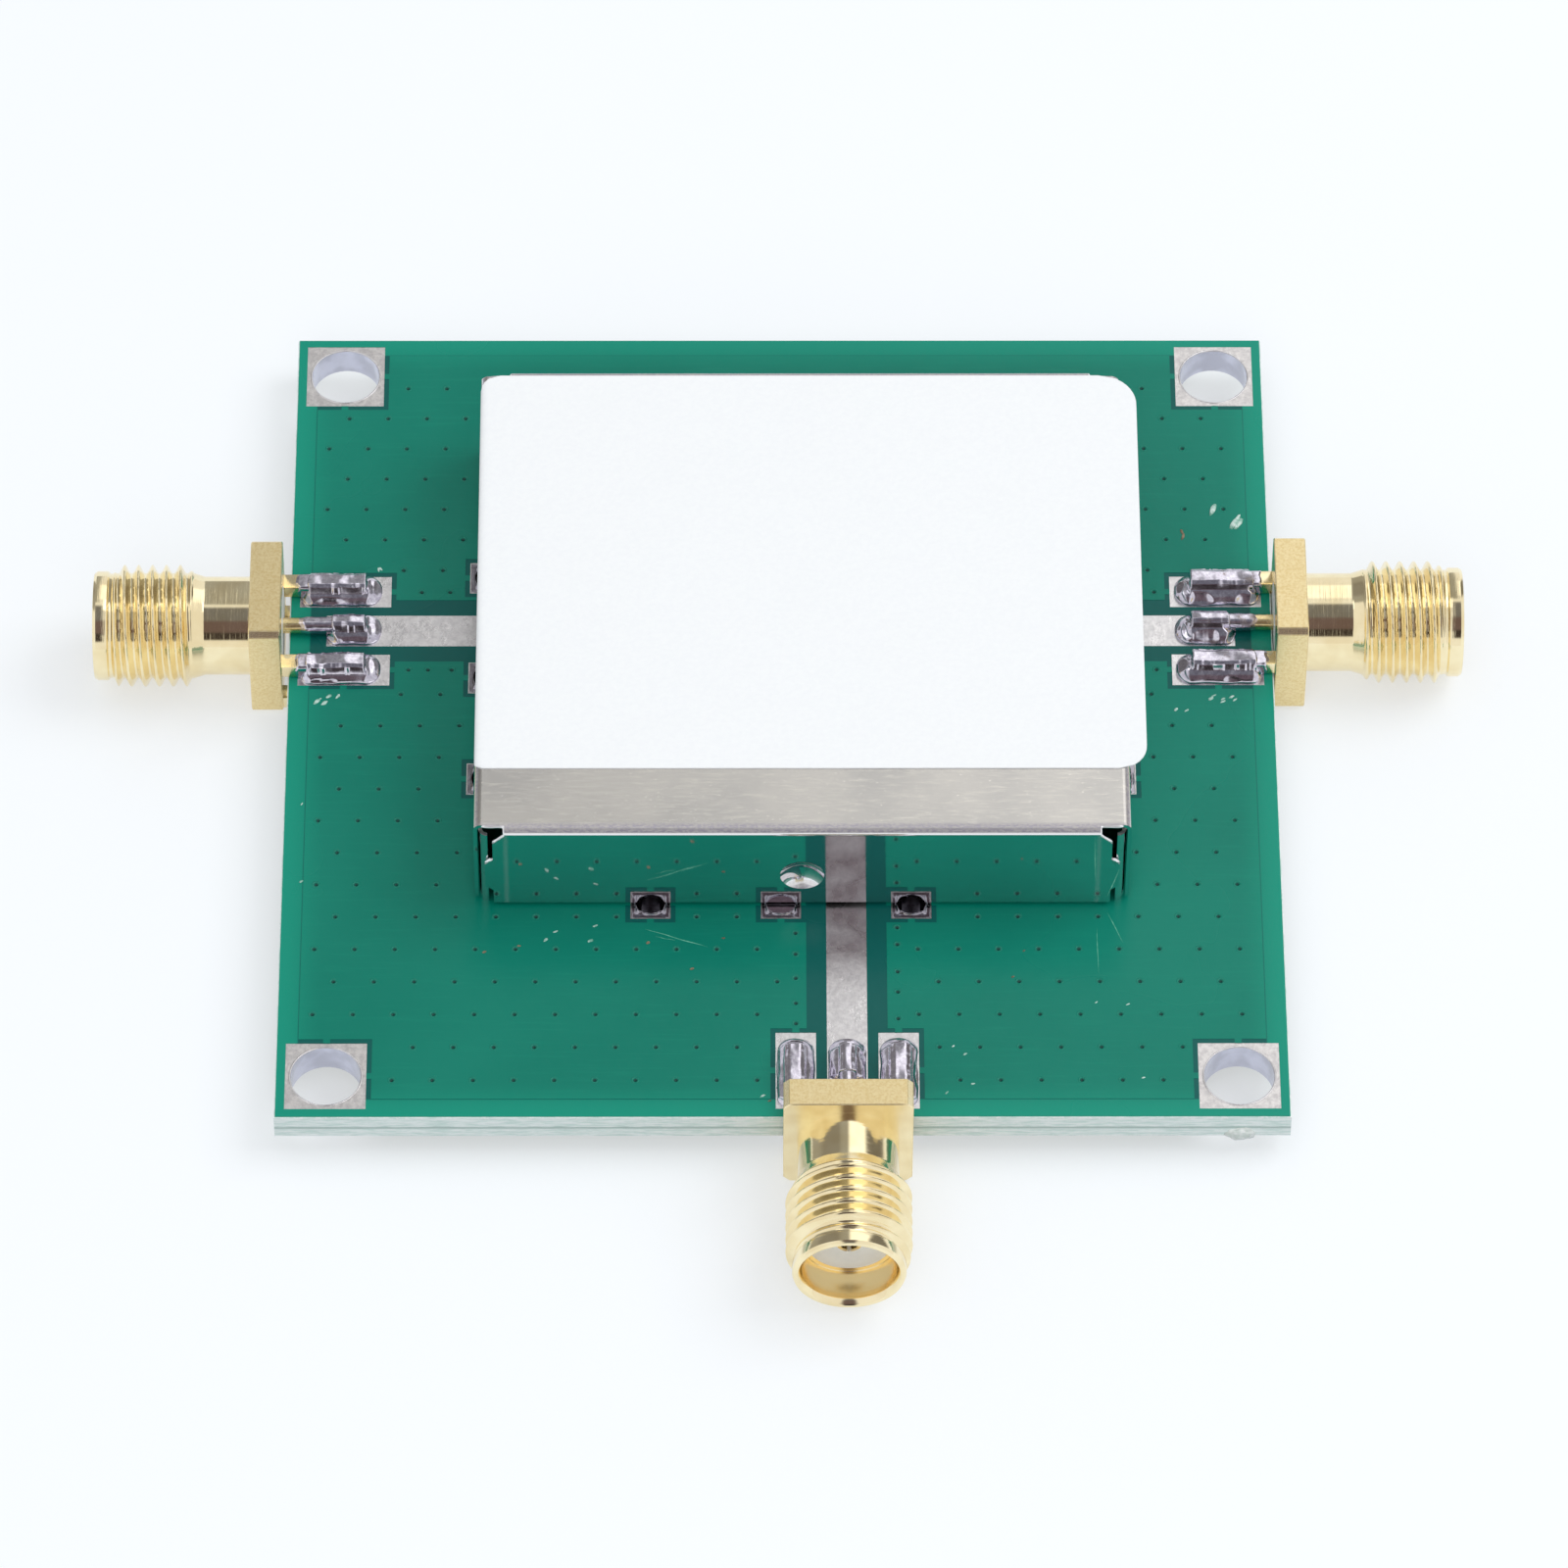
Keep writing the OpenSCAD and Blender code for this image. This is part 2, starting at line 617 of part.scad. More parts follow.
module shield_leg_solder() color(solder_colour) difference() {
    for (i = [0:len(legs) - 1]) translate(leg_hole_places[i]) {
        top = i == filled_leg ? board_t + plug_rise : plug_h;
        cylinder(d = leg_hole_d, h = top);
        translate([0, 0, -frame_leg_out * 0.8])
            cylinder(d1 = frame_leg_w, d2 = leg_pad - 2 * leg_solder_margin, h = frame_leg_out * 0.8);
    }
    for (g = legs) frame_leg(g);
}

module label() color(label_colour)
    translate([can_x + (label_l - can_l) / 2, can_y + (can_w - label_w) / 2 - label_back, top_z])
        linear_extrude(label_t) round_box(label_l, label_w, label_r);

// Jacks, drawn with the axis along +Z, up along +Y and the flange's rear face at z = 0
body_end = flange_t + barrel_l;
insulator_end = body_end - mouth_depth;
neck_l = barrel_l - neck_cone_l - thread_l - lead_in_l;
thread_start = flange_t + neck_l + neck_cone_l;
thread_end = thread_start + thread_l;
root_r = thread_d / 2 - thread_depth;
rim_chamfer = 0.15;
board_top_y = -axis_rise;
board_bottom_y = -axis_rise - board_t;
// Height of the solder coat's underside over the board
coat_lift = mask_t + 0.01;

module at(place) translate([place[0], place[1], axis_z]) rotate([0, 0, place[2]]) rotate([90, 0, 0]) children();

// Half section of the barrel: radius and distance from the flange's rear face
crest_w = thread_pitch / 8;
root_w = thread_pitch / 5;
groove_count = floor((thread_l - crest_w) / thread_pitch);
groove_start = thread_end - crest_w - groove_count * thread_pitch;
barrel_section = concat(
    [[0, flange_t / 2], [neck_d / 2, flange_t / 2], [neck_d / 2, flange_t + neck_l],
        [thread_d / 2, thread_start]],
    [for (i = [0:groove_count - 1]) each let (z = groove_start + i * thread_pitch) [
        [thread_d / 2, z + crest_w / 2],
        [root_r, z + (thread_pitch - root_w) / 2],
        [root_r, z + (thread_pitch + root_w) / 2],
        [thread_d / 2, z + thread_pitch - crest_w / 2]]],
    [[thread_d / 2, thread_end], [root_r, thread_end + thread_depth / 2], [root_r, body_end - rim_chamfer],
        [root_r - rim_chamfer, body_end], [0, body_end]]);

module chamfered_square(w, c) {
    h = w / 2;
    polygon([[h - c, h], [h, h - c], [h, c - h], [h - c, -h], [c - h, -h], [-h, c - h], [-h, h - c], [c - h, h]]);
}

module jack_legs() {
    for (sx = [-1, 1], y = [board_top_y + solder_gap, board_bottom_y - solder_gap - leg_h])
        translate([sx * leg_out - leg_w / 2, y, -leg_l]) cube([leg_w, leg_h, leg_l + flange_t / 2]);
}

module jack_body() color(gold_colour) difference() {
    union() {
        linear_extrude(flange_t) chamfered_square(flange_w, flange_chamfer);
        rotate_extrude() polygon(barrel_section);
        jack_legs();
    }
    translate([0, 0, -cut]) cylinder(d = insulator_d, h = body_end + cut);
    translate([0, 0, insulator_end]) cylinder(d = mouth_d, h = mouth_depth + cut);
}

module jack_insulator() color(insulator_colour) difference() {
    cylinder(d = insulator_d, h = insulator_end);
    translate([0, 0, insulator_end - socket_l]) cylinder(d = socket_d, h = socket_l + cut);
    translate([0, 0, -cut]) cylinder(d = pin_d, h = insulator_end + cut);
}

module contact_pin() translate([0, 0, -leg_l]) cylinder(d = pin_d, h = leg_l + insulator_end - socket_l);

module jack_contact() color(gold_colour) difference() {
    union() {
        contact_pin();
        translate([0, 0, insulator_end - socket_l]) cylinder(d = socket_d, h = socket_l);
    }
    translate([0, 0, insulator_end - socket_hole_depth]) cylinder(d = socket_hole_d, h = socket_hole_depth + cut);
    for (turn = [0, 90]) rotate([0, 0, turn])
        translate([-socket_d, -socket_slot_w / 2, insulator_end - socket_slot_l])
            cube([2 * socket_d, socket_slot_w, socket_slot_l + cut]);
}

// Section of a solder joint over a leg of half width half and height top, with concave sides down to the pad
module joint_section(half, top, foot) {
    core = half + solder_coat;
    r = min(foot - core, top);
    translate([-core, 0]) square([2 * core, top + solder_coat]);
    difference() {
        translate([-core - r, 0]) square([2 * (core + r), r]);
        for (s = [-1, 1]) translate([s * (core + r), r]) circle(r);
    }
}

// The joint runs along the leg and ends in a rounded nose past its tip. Up to foot_start it is only a coat over the leg.
module joint(half, top, foot, foot_start) {
    nose = top + solder_coat;
    core = half + solder_coat;
    translate([0, 0, -leg_l]) linear_extrude(leg_l - bare_leg_l) translate([-core, coat_lift])
        square([2 * core, nose - coat_lift]);
    translate([0, 0, -leg_l]) linear_extrude(leg_l - foot_start) joint_section(half, top, foot);
    intersection() {
        translate([0, 0, -leg_l - nose]) linear_extrude(nose) joint_section(half, top, foot);
        translate([-foot - cut, 0, -leg_l]) rotate([0, 90, 0]) cylinder(r = nose, h = 2 * (foot + cut));
    }
}

// gap is the distance of the flange from the board edge, and shift that of the jack from its pads' centre
module jack_solder(gap, shift = 0) color(solder_colour) difference() {
    ground_foot = jack_pad_w / 2 - solder_margin - abs(leg_out - jack_pad_out) - abs(shift);
    ground_start = max(bare_leg_l, gap + jack_pad_inset);
    union() {
        for (sx = [-1, 1]) {
            translate([sx * leg_out, board_top_y, 0])
                joint(leg_w / 2, solder_gap + leg_h, ground_foot, ground_start);
            translate([sx * leg_out, board_bottom_y, 0]) mirror([0, 1, 0])
                joint(leg_w / 2, solder_gap + leg_h, ground_foot, ground_start);
        }
        translate([0, board_top_y, 0]) joint(
            pin_d / 2, solder_gap + pin_d, strip_w / 2 - solder_margin - abs(shift), gap + strip_inset);
    }
    jack_legs();
    contact_pin();
}

module left_jack_body() at(left_place) jack_body();
module left_jack_insulator() at(left_place) jack_insulator();
module left_jack_contact() at(left_place) jack_contact();
module left_jack_solder() at(left_place) jack_solder(edge_gap);
module right_jack_body() at(right_place) jack_body();
module right_jack_insulator() at(right_place) jack_insulator();
module right_jack_contact() at(right_place) jack_contact();
module right_jack_solder() at(right_place) jack_solder(right_edge_gap, right_jack_shift);
module front_jack_body() at(front_place) jack_body();
module front_jack_insulator() at(front_place) jack_insulator();
module front_jack_contact() at(front_place) jack_contact();
module front_jack_solder() at(front_place) jack_solder(edge_gap);

// Chip under the shield
module body_side(w) polygon([
    [-w / 2 + body_draft, 0], [w / 2 - body_draft, 0], [w / 2, chip_h / 2],
    [w / 2 - body_draft, chip_h], [-w / 2 + body_draft, chip_h], [-w / 2, chip_h / 2]]);

module mixer_chip() color(chip_colour) translate([chip_x, chip_y, board_t + chip_gap]) difference() {
    intersection() {
        translate([0, chip_w / 2, 0]) rotate([90, 0, 0]) linear_extrude(chip_w) body_side(chip_w);
        translate([-chip_w / 2, 0, 0]) rotate([90, 0, 90]) linear_extrude(chip_w) body_side(chip_w);
    }
    translate([-chip_w / 3, chip_w / 3, chip_h - spot_depth]) cylinder(d = spot_d, h = cut);
}

// Side view of a lead from the body's side to its foot, X outward and Y up from the pad
module lead_side() {
    out = lead_span / 2;
    shoulder = chip_gap + chip_h / 2;
    knee = out - lead_foot;
    polygon([
        [chip_w / 2, shoulder - lead_t / 2], [knee - lead_t, shoulder - lead_t / 2], [knee - lead_t / 2, 0],
        [out, 0], [out, lead_t], [knee + lead_t / 2, lead_t], [knee, shoulder + lead_t / 2],
        [chip_w / 2, shoulder + lead_t / 2]]);
}

module on_leads(w) for (turn = [0, 180], i = [0:leads - 1])
    translate([chip_x, chip_y, board_t]) rotate([0, 0, turn]) translate([0, lead_y(i) + w / 2, 0])
        rotate([90, 0, 0]) linear_extrude(w) children();

module chip_leads() color(tin_colour) on_leads(lead_w) lead_side();

// A wedge of solder in front of each lead's toe
module chip_solder() color(solder_colour) on_leads(lead_w)
    translate([lead_span / 2, 0]) polygon([[0, 0], [toe_l, 0], [0, lead_t]]);

laminate();
top_copper();
bottom_copper();
top_solder_mask();
bottom_solder_mask();
mounting_hole_plating();
leg_hole_plating();
shield_frame();
shield_cover();
shield_leg_solder();
label();
left_jack_body();
left_jack_insulator();
left_jack_contact();
left_jack_solder();
right_jack_body();
right_jack_insulator();
right_jack_contact();
right_jack_solder();
front_jack_body();
front_jack_insulator();
front_jack_contact();
front_jack_solder();
mixer_chip();
chip_leads();
chip_solder();
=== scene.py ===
"""Looks of the frequency mixer module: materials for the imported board, shield and chip, with modelled
threads, solder joints, label, flux residue and scratches. Lengths named here are in millimetres."""
import math
import random

import bmesh
import bpy
from mathutils import Matrix, Vector, noise


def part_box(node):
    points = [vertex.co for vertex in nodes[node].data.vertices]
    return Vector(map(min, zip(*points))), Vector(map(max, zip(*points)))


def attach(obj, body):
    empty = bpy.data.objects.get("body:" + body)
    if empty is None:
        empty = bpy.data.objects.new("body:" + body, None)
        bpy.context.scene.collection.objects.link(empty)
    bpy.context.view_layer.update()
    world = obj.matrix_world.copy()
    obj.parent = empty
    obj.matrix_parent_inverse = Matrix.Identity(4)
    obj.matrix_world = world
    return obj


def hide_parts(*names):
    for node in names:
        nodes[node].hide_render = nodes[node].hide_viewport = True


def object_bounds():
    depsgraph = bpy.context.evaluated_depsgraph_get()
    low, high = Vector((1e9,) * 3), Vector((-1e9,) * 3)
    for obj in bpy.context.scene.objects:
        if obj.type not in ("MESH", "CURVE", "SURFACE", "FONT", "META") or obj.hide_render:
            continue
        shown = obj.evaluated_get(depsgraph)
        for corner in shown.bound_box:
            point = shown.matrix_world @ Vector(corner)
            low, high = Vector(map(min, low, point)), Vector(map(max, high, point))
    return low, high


MM = 0.001
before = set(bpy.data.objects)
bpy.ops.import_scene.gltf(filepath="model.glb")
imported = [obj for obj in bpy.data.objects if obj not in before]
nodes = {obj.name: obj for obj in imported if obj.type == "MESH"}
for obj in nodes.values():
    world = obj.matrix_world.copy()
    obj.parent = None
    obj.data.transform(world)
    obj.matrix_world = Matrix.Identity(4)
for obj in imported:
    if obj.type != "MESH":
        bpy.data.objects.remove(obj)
cad_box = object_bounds()


def node_box(name):
    """Lowest and highest corner of a node, in millimetres with four decimals."""
    return [[round(c / MM, 4) for c in corner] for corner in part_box(name)]


# Sizes read from the frame. The top copper ends at the board's full thickness, and the laminate below it.
BOARD_HALF = node_box("laminate")[1][0]
BOARD_T = node_box("top_copper")[1][2]
can_low, can_high = node_box("shield_cover")
CAN_X, CAN_Y = ((low + high) / 2 for low, high in zip(can_low[:2], can_high[:2]))
CAN_HALF_L, CAN_HALF_W = ((high - low) / 2 for low, high in zip(can_low[:2], can_high[:2]))
CAN_TOP = can_high[2]

# Sizes that repeat the part's source
MASK_T = 0.025
MASK_DIP = 0.015
POUR_HALF = 23.9
RIM_BARE = 0.06
SIDE_PORT_Y = 5.6
FRONT_PORT_X = 3.2
EDGE_GAP = 0.3
RIGHT_EDGE_GAP = 0.05
RIGHT_SHIFT = 0.2
AXIS_Z = 2.05
FLANGE_W = 6.35
FLANGE_T = 1.6
FLANGE_CHAMFER = 0.3
BARREL_L = 7.95
THREAD_D = 6.2
THREAD_PITCH = 0.7056
THREAD_DEPTH = 0.42
THREAD_L = 4.1
LEAD_IN_L = 0.95
NECK_D = 5.0
NECK_CONE_L = 0.5
MOUTH_D = 4.6
MOUTH_DEPTH = 1.9
INSULATOR_D = 4.1
PIN_D = 0.8
LEG_L = 4.1
LEG_W = 0.9
LEG_H = 0.8
LEG_OUT = 2.6
BARE_LEG_L = 0.9
SOLDER_GAP = 0.05
PAD_OUT = 2.54
PAD_W = 2.0
PAD_INSET = 0.5
STRIP_W = 2.0
STRIP_INSET = 1.9
SHEET_T = 0.2
RELIEF_L = 1.55
SHOULDER_H = 0.6
UPPER_STEP = 0.95
MIDDLE_STEP = 0.55
MIDDLE_STEP_Z = 2.3
STEP_H = 0.35
CAN_BEND_R = 0.4
LEG_PITCH = 6.5
SIDE_LEG_SHIFT = 0.2
LEG_PAD = 2.0
LEG_HOLE_D = 1.5
# Distances of the leg pads from the shield's middle along X and Y
LEG_SPREAD = (15.85, 14.75)
MOUNT_HOLE_D = 3.5
MOUNT_SPACING = 45.0
VIA_D = 0.3

# Distance of the shield's faint upright creases from its side walls, and the rounding of the jacks' legs
CREASE_IN = 1.6
LEG_BEVEL = 0.08


# Node materials
class Graph:
    """The node tree of a new material or world round its shader, with short calls for the nodes used here."""

    def __init__(self, name, kind="materials", shader="Principled BSDF"):
        self.owner = getattr(bpy.data, kind).new(name)
        self.owner.use_nodes = True
        self.tree = self.owner.node_tree
        self.shader = self.tree.nodes[shader]

    def add(self, kind, **settings):
        node = self.tree.nodes.new(kind)
        for key, value in settings.items():
            setattr(node, key, value)
        return node

    def put(self, socket, value):
        if isinstance(value, bpy.types.NodeSocket):
            self.tree.links.new(value, socket)
        elif isinstance(value, (tuple, list)) and len(value) == 3 and socket.type == "RGBA":
            socket.default_value = (*value, 1.0)
        else:
            socket.default_value = value

    def set(self, **values):
        for key, value in values.items():
            self.put(self.shader.inputs[key.replace("_", " ")], value)

    def math(self, operation, a, b=0.0):
        node = self.add("ShaderNodeMath", operation=operation)
        self.put(node.inputs[0], a)
        self.put(node.inputs[1], b)
        return node.outputs[0]

    def plus(self, a, b):
        return self.math("ADD", a, b)

    def minus(self, a, b):
        return self.math("SUBTRACT", a, b)

    def times(self, a, b):
        return self.math("MULTIPLY", a, b)

    def size(self, value):
        return self.math("ABSOLUTE", value)

    def largest(self, *values):
        result = values[0]
        for value in values[1:]:
            result = self.math("MAXIMUM", result, value)
        return result

    def mix(self, factor, a, b):
        node = self.add("ShaderNodeMix", data_type="RGBA")
        self.put(node.inputs["Factor"], factor)
        self.put(node.inputs[6], a)
        self.put(node.inputs[7], b)
        return node.outputs[2]

    def span(self, value, low, high, out_low=0.0, out_high=1.0):
        node = self.add("ShaderNodeMapRange", interpolation_type="SMOOTHSTEP")
        for socket, item in zip(node.inputs, (value, low, high, out_low, out_high)):
            self.put(socket, item)
        return node.outputs[0]

    def blend(self, value, low, high, a, b, share=1.0):
        """Colour a where value is low, and that share of b over it where value is high."""
        return self.mix(self.span(value, low, high, 0.0, share), a, b)

    def near(self, value, place, width):
        """1 where value is at place, 0 from width away."""
        return self.span(self.size(self.minus(value, place)), 0.0, width, 1.0, 0.0)

    def place(self, stretch=(1.0, 1.0, 1.0)):
        """Object coordinates in millimetres, times stretch."""
        coords = self.add("ShaderNodeTexCoord").outputs["Object"]
        node = self.add("ShaderNodeVectorMath", operation="MULTIPLY")
        self.put(node.inputs[0], coords)
        node.inputs[1].default_value = [s / MM for s in stretch]
        return node.outputs[0]

    def axes(self, vector):
        node = self.add("ShaderNodeSeparateXYZ")
        self.put(node.inputs[0], vector)
        return node.outputs

    def noise(self, vector, scale, detail=2.0, roughness=0.5):
        node = self.add("ShaderNodeTexNoise")
        settings = {"Vector": vector, "Scale": scale, "Detail": detail, "Roughness": roughness}
        for key, value in settings.items():
            self.put(node.inputs[key], value)
        return node.outputs["Fac"]

    def normal_axis(self, axis):
        """Size of one axis of the true normal, in the world."""
        normal = self.add("ShaderNodeNewGeometry").outputs["True Normal"]
        return self.size(self.axes(normal)[axis])

    def seen(self):
        """1 for what the camera sees, also in gloss or through glass, and 0 for the light on the object."""
        rays = self.add("ShaderNodeLightPath").outputs
        return self.largest(*[rays[f"Is {kind} Ray"] for kind in ("Camera", "Glossy", "Transmission")])

    def bump(self, height, depth):
        """Bump of that depth in millimetres."""
        node = self.add("ShaderNodeBump")
        node.inputs["Strength"].default_value = 1.0
        node.inputs["Distance"].default_value = depth * MM
        self.put(node.inputs["Height"], height)
        self.put(self.shader.inputs["Normal"], node.outputs[0])


def srgb(*levels):
    """Colour as it shows on a screen, 0 to 255, as linear values."""
    shares = [level / 255 for level in levels]
    return tuple(c / 12.92 if c <= 0.04045 else ((c + 0.055) / 1.055) ** 2.4 for c in shares)


def shaded(colour, share):
    return tuple(c * share for c in colour)


def board_reach(g, place):
    """The larger distance from the board's centre lines, and the height."""
    x, y, z = g.axes(place)
    return g.largest(g.size(x), g.size(y)), z


def mask_material():
    g = Graph("solder_mask")
    place = g.place()
    outside, z = board_reach(g, place)
    rim = g.span(outside, POUR_HALF - 1.2, BOARD_HALF)
    over_copper = g.math("GREATER_THAN", z, BOARD_T + MASK_T - MASK_DIP / 2)
    under_copper = g.math("LESS_THAN", z, MASK_DIP / 2 - MASK_T)
    copper = g.largest(over_copper, under_copper)
    cloud = g.noise(place, 0.08, 3.0)
    weave = g.noise(g.place((0.35, 5.0, 1.0)), 1.0)
    green = g.blend(cloud, 0.3, 0.7, srgb(0, 121, 102), srgb(6, 128, 108))
    green = g.blend(weave, 0.5, 0.8, green, srgb(16, 138, 114), 0.3)
    green = g.mix(rim, green, srgb(10, 142, 118))
    border = g.mix(rim, srgb(4, 126, 106), srgb(12, 146, 122))
    bare = g.blend(outside, POUR_HALF - 0.02, POUR_HALF + 0.08, srgb(4, 92, 86), border)
    g.set(Base_Color=g.mix(copper, bare, green), Roughness=g.span(cloud, 0.2, 0.8, 0.22, 0.3),
          Specular_IOR_Level=0.24)
    g.bump(g.noise(place, 1.4, 3.0), 0.008)
    return g.owner


def laminate_material():
    g = Graph("glass_laminate")
    place = g.place()
    outside, z = board_reach(g, place)
    edge = g.math("GREATER_THAN", outside, BOARD_HALF - RIM_BARE - 0.01)
    fibre = g.noise(g.place((0.8, 0.8, 7.0)), 1.0, 4.0, 0.65)
    chips = g.noise(place, 2.2, 3.0, 0.7)
    wavy = g.plus(z, g.times(fibre, 0.16))
    layers = g.blend(fibre, 0.36, 0.62, srgb(216, 236, 230), srgb(248, 255, 253))
    layers = g.mix(g.near(wavy, BOARD_T / 2, 0.14), layers, srgb(180, 200, 194))
    chipped = g.times(g.near(z, BOARD_T, 0.35), g.span(chips, 0.5, 0.6))
    layers = g.mix(chipped, layers, srgb(254, 255, 255))
    # Away from the board's edge the laminate only shows in the walls of the holes, which get a flat dark
    # green: painted shade in the holes.
    g.set(Base_Color=g.mix(edge, srgb(18, 70, 54), layers), Roughness=0.55)
    g.bump(g.plus(fibre, chips), 0.05)
    return g.owner


def tin_material():
    g = Graph("tinned_copper")
    place = g.place()
    grain = g.noise(place, 3.5, 4.0, 0.7)
    base = g.blend(grain, 0.3, 0.7, srgb(216, 214, 216), srgb(238, 236, 237))
    g.set(Base_Color=base, Metallic=1.0, Roughness=g.span(g.noise(place, 0.6), 0.3, 0.7, 0.24, 0.36))
    g.bump(grain, 0.01)
    return g.owner


def tinplate_material():
    g = Graph("tinplate")
    place = g.place()
    x, y = g.axes(place)[:2]
    streaks = g.noise(g.place((0.5, 3.2, 1.0)), 1.6, 4.0, 0.7)
    specks = g.noise(g.place((1.0, 2.0, 1.5)), 5.0)
    cloud = g.noise(place, 0.2, 3.0)
    flat = g.normal_axis(2)
    # The flat top gets a darker colour than the upright walls, picked by the normal: painted shade on the top
    # of one and the same sheet. Its streaks and specks are the sheet's own.
    top = g.blend(cloud, 0.3, 0.7, srgb(203, 201, 198), srgb(217, 214, 209))
    top = g.blend(streaks, 0.48, 0.72, top, srgb(232, 229, 221), 0.6)
    top = g.blend(specks, 0.66, 0.76, top, srgb(255, 252, 245), 0.8)
    base = g.blend(flat, 0.3, 0.97, srgb(236, 236, 238), top)
    # The bends, picked by the normal's tilt, and the front and back folds get a darker lilac, mottled by the
    # specks: painted shade on the bends. They are also rougher.
    fold = g.near(g.size(g.minus(y, CAN_Y)), CAN_HALF_W - 0.36, 0.3)
    bend_shade = g.largest(g.near(flat, 0.74, 0.28), g.times(fold, g.span(flat, 0.5, 0.9, 0.0, 0.8)))
    base = g.mix(g.times(bend_shade, g.span(specks, 0.4, 0.6, 0.35, 1.0)), base, srgb(178, 173, 188))
    crease = g.near(g.size(g.minus(x, CAN_X)), CAN_HALF_L - CREASE_IN, 0.2)
    upright = g.minus(1.0, flat)
    g.set(Base_Color=base, Metallic=g.minus(1.0, g.times(crease, g.times(upright, 0.07))),
          Roughness=g.plus(g.span(flat, 0.2, 0.95, 0.06, 0.26), g.times(bend_shade, 0.27)))
    g.bump(g.times(streaks, g.times(flat, 0.35)), 0.01)
    return g.owner


def solder_material(name, stains, shade=1.0):
    """Solder with brown stains of burnt flux, few and faint at 0 and many at 1."""
    g = Graph(name)
    place = g.place()
    lumps = g.noise(place, 0.9, 2.0, 0.4)
    fine = g.noise(place, 5.0, 3.0, 0.6)
    patches = g.noise(place, 1.3, 3.0, 0.6)
    metal = g.blend(fine, 0.35, 0.7, shaded(srgb(200, 195, 209), shade), shaded(srgb(228, 225, 236), shade))
    stained = g.times(g.span(patches, 0.64 - 0.08 * stains, 0.74 - 0.06 * stains), 0.3 + 0.4 * stains)
    rough = g.plus(g.span(lumps, 0.35, 0.7, 0.1, 0.17), g.times(stained, 0.25))
    g.set(Base_Color=g.mix(stained, metal, srgb(118, 98, 84)), Metallic=1.0, Roughness=rough)
    g.bump(lumps, 0.02)
    return g.owner


def gold_material():
    """Gold, bright on the turned barrel, duller in the mouth and on the flange, which has grained sides."""
    g = Graph("gold_plating")
    place = g.place()
    x, y, z = g.axes(place)
    slack = 0.02
    flange_side = g.math("GREATER_THAN", g.largest(g.size(x), g.size(y)), FLANGE_W / 2 - 2 * slack)
    inside = g.math("LESS_THAN", g.plus(g.times(x, x), g.times(y, y)), (MOUTH_D / 2 + slack) ** 2)
    flange = g.math("LESS_THAN", z, FLANGE_T + slack)
    brushed = g.noise(g.place((14.0, 14.0, 0.6)), 1.0, 3.0, 0.7)
    grain = g.plus(g.noise(place, 9.0, 3.0, 0.6), g.times(brushed, 0.25))
    turned = g.noise(g.place((0.25, 0.25, 6.0)), 1.0, 3.0, 0.7)
    base = g.blend(g.noise(place, 0.7), 0.3, 0.7, srgb(243, 225, 180), srgb(252, 238, 198))
    side = g.blend(grain, 0.45, 0.8, srgb(234, 211, 155), srgb(246, 228, 180))
    colour = g.mix(inside, g.mix(flange_side, base, side), srgb(255, 234, 183))
    rough = g.plus(g.times(g.plus(flange_side, g.largest(flange, inside)), 0.13), 0.1)
    g.set(Base_Color=colour, Metallic=1.0, Roughness=rough)
    g.bump(g.mix(flange_side, g.times(turned, 0.6), g.times(grain, 0.2)), 0.012)
    return g.owner


def plain_material(name, colour, roughness, grain_scale, metallic=0.0, shade=0.85):
    g = Graph(name)
    grain = g.noise(g.place(), grain_scale, 3.0)
    base = g.blend(grain, 0.3, 0.7, shaded(colour, shade), colour)
    g.set(Base_Color=base, Metallic=metallic, Roughness=roughness)
    g.bump(grain, 0.01)
    return g.owner


def paper_material():
    g = Graph("label_paper")
    fibre = g.noise(g.place(), 4.0, 4.0, 0.6)
    base = g.blend(fibre, 0.3, 0.7, srgb(247, 248, 250), srgb(250, 251, 252))
    g.set(Base_Color=base, Roughness=0.5, Specular_IOR_Level=0.3)
    g.bump(fibre, 0.004)
    return g.owner


def plating_material(name, wall, roughness):
    """Tinned pads, with another look for the walls of their holes."""
    g = Graph(name)
    place = g.place()
    grain = g.noise(place, 3.5, 4.0, 0.7)
    flat = g.span(g.normal_axis(2), 0.4, 0.6)
    pad = g.blend(grain, 0.3, 0.7, srgb(206, 203, 204), srgb(236, 233, 232))
    inner = g.blend(g.noise(place, 0.8), 0.35, 0.65, shaded(wall, 0.8), wall)
    g.set(Base_Color=g.mix(flat, inner, pad), Metallic=1.0, Roughness=g.span(flat, 0.0, 1.0, roughness, 0.33))
    g.bump(g.times(grain, g.span(flat, 0.0, 1.0, 0.25, 1.0)), 0.012)
    return g.owner


def via_material():
    """Mask with painted shade: darker down in the vias, and dark all over on the underside."""
    g = Graph("via_fill")
    place = g.place()
    top = BOARD_T + MASK_T
    # Dark green below the mask's surface: painted shade in the hollows of the vias, which also makes the
    # drops on the underside dark all over.
    base = g.blend(g.axes(place)[2], top - 0.07, top - 0.005, srgb(2, 62, 56), srgb(8, 126, 106))
    g.set(Base_Color=base, Roughness=0.25, Specular_IOR_Level=0.3)
    g.bump(g.noise(place, 4.0), 0.01)
    return g.owner


def residue_material(name, dark, light, roughness):
    g = Graph(name)
    place = g.place()
    g.set(Base_Color=g.blend(g.noise(place, 3.0, 3.0), 0.3, 0.7, dark, light), Roughness=roughness)
    g.bump(g.noise(place, 6.0), 0.02)
    return g.owner


def paint(material, *names):
    for name in names:
        slots = nodes[name].data.materials
        slots.clear()
        slots.append(material)


# Meshes
def new_object(name, data, matrix=Matrix()):
    thing = bpy.data.objects.new(name, data)
    thing.matrix_world = matrix
    bpy.context.scene.collection.objects.link(thing)
    return thing


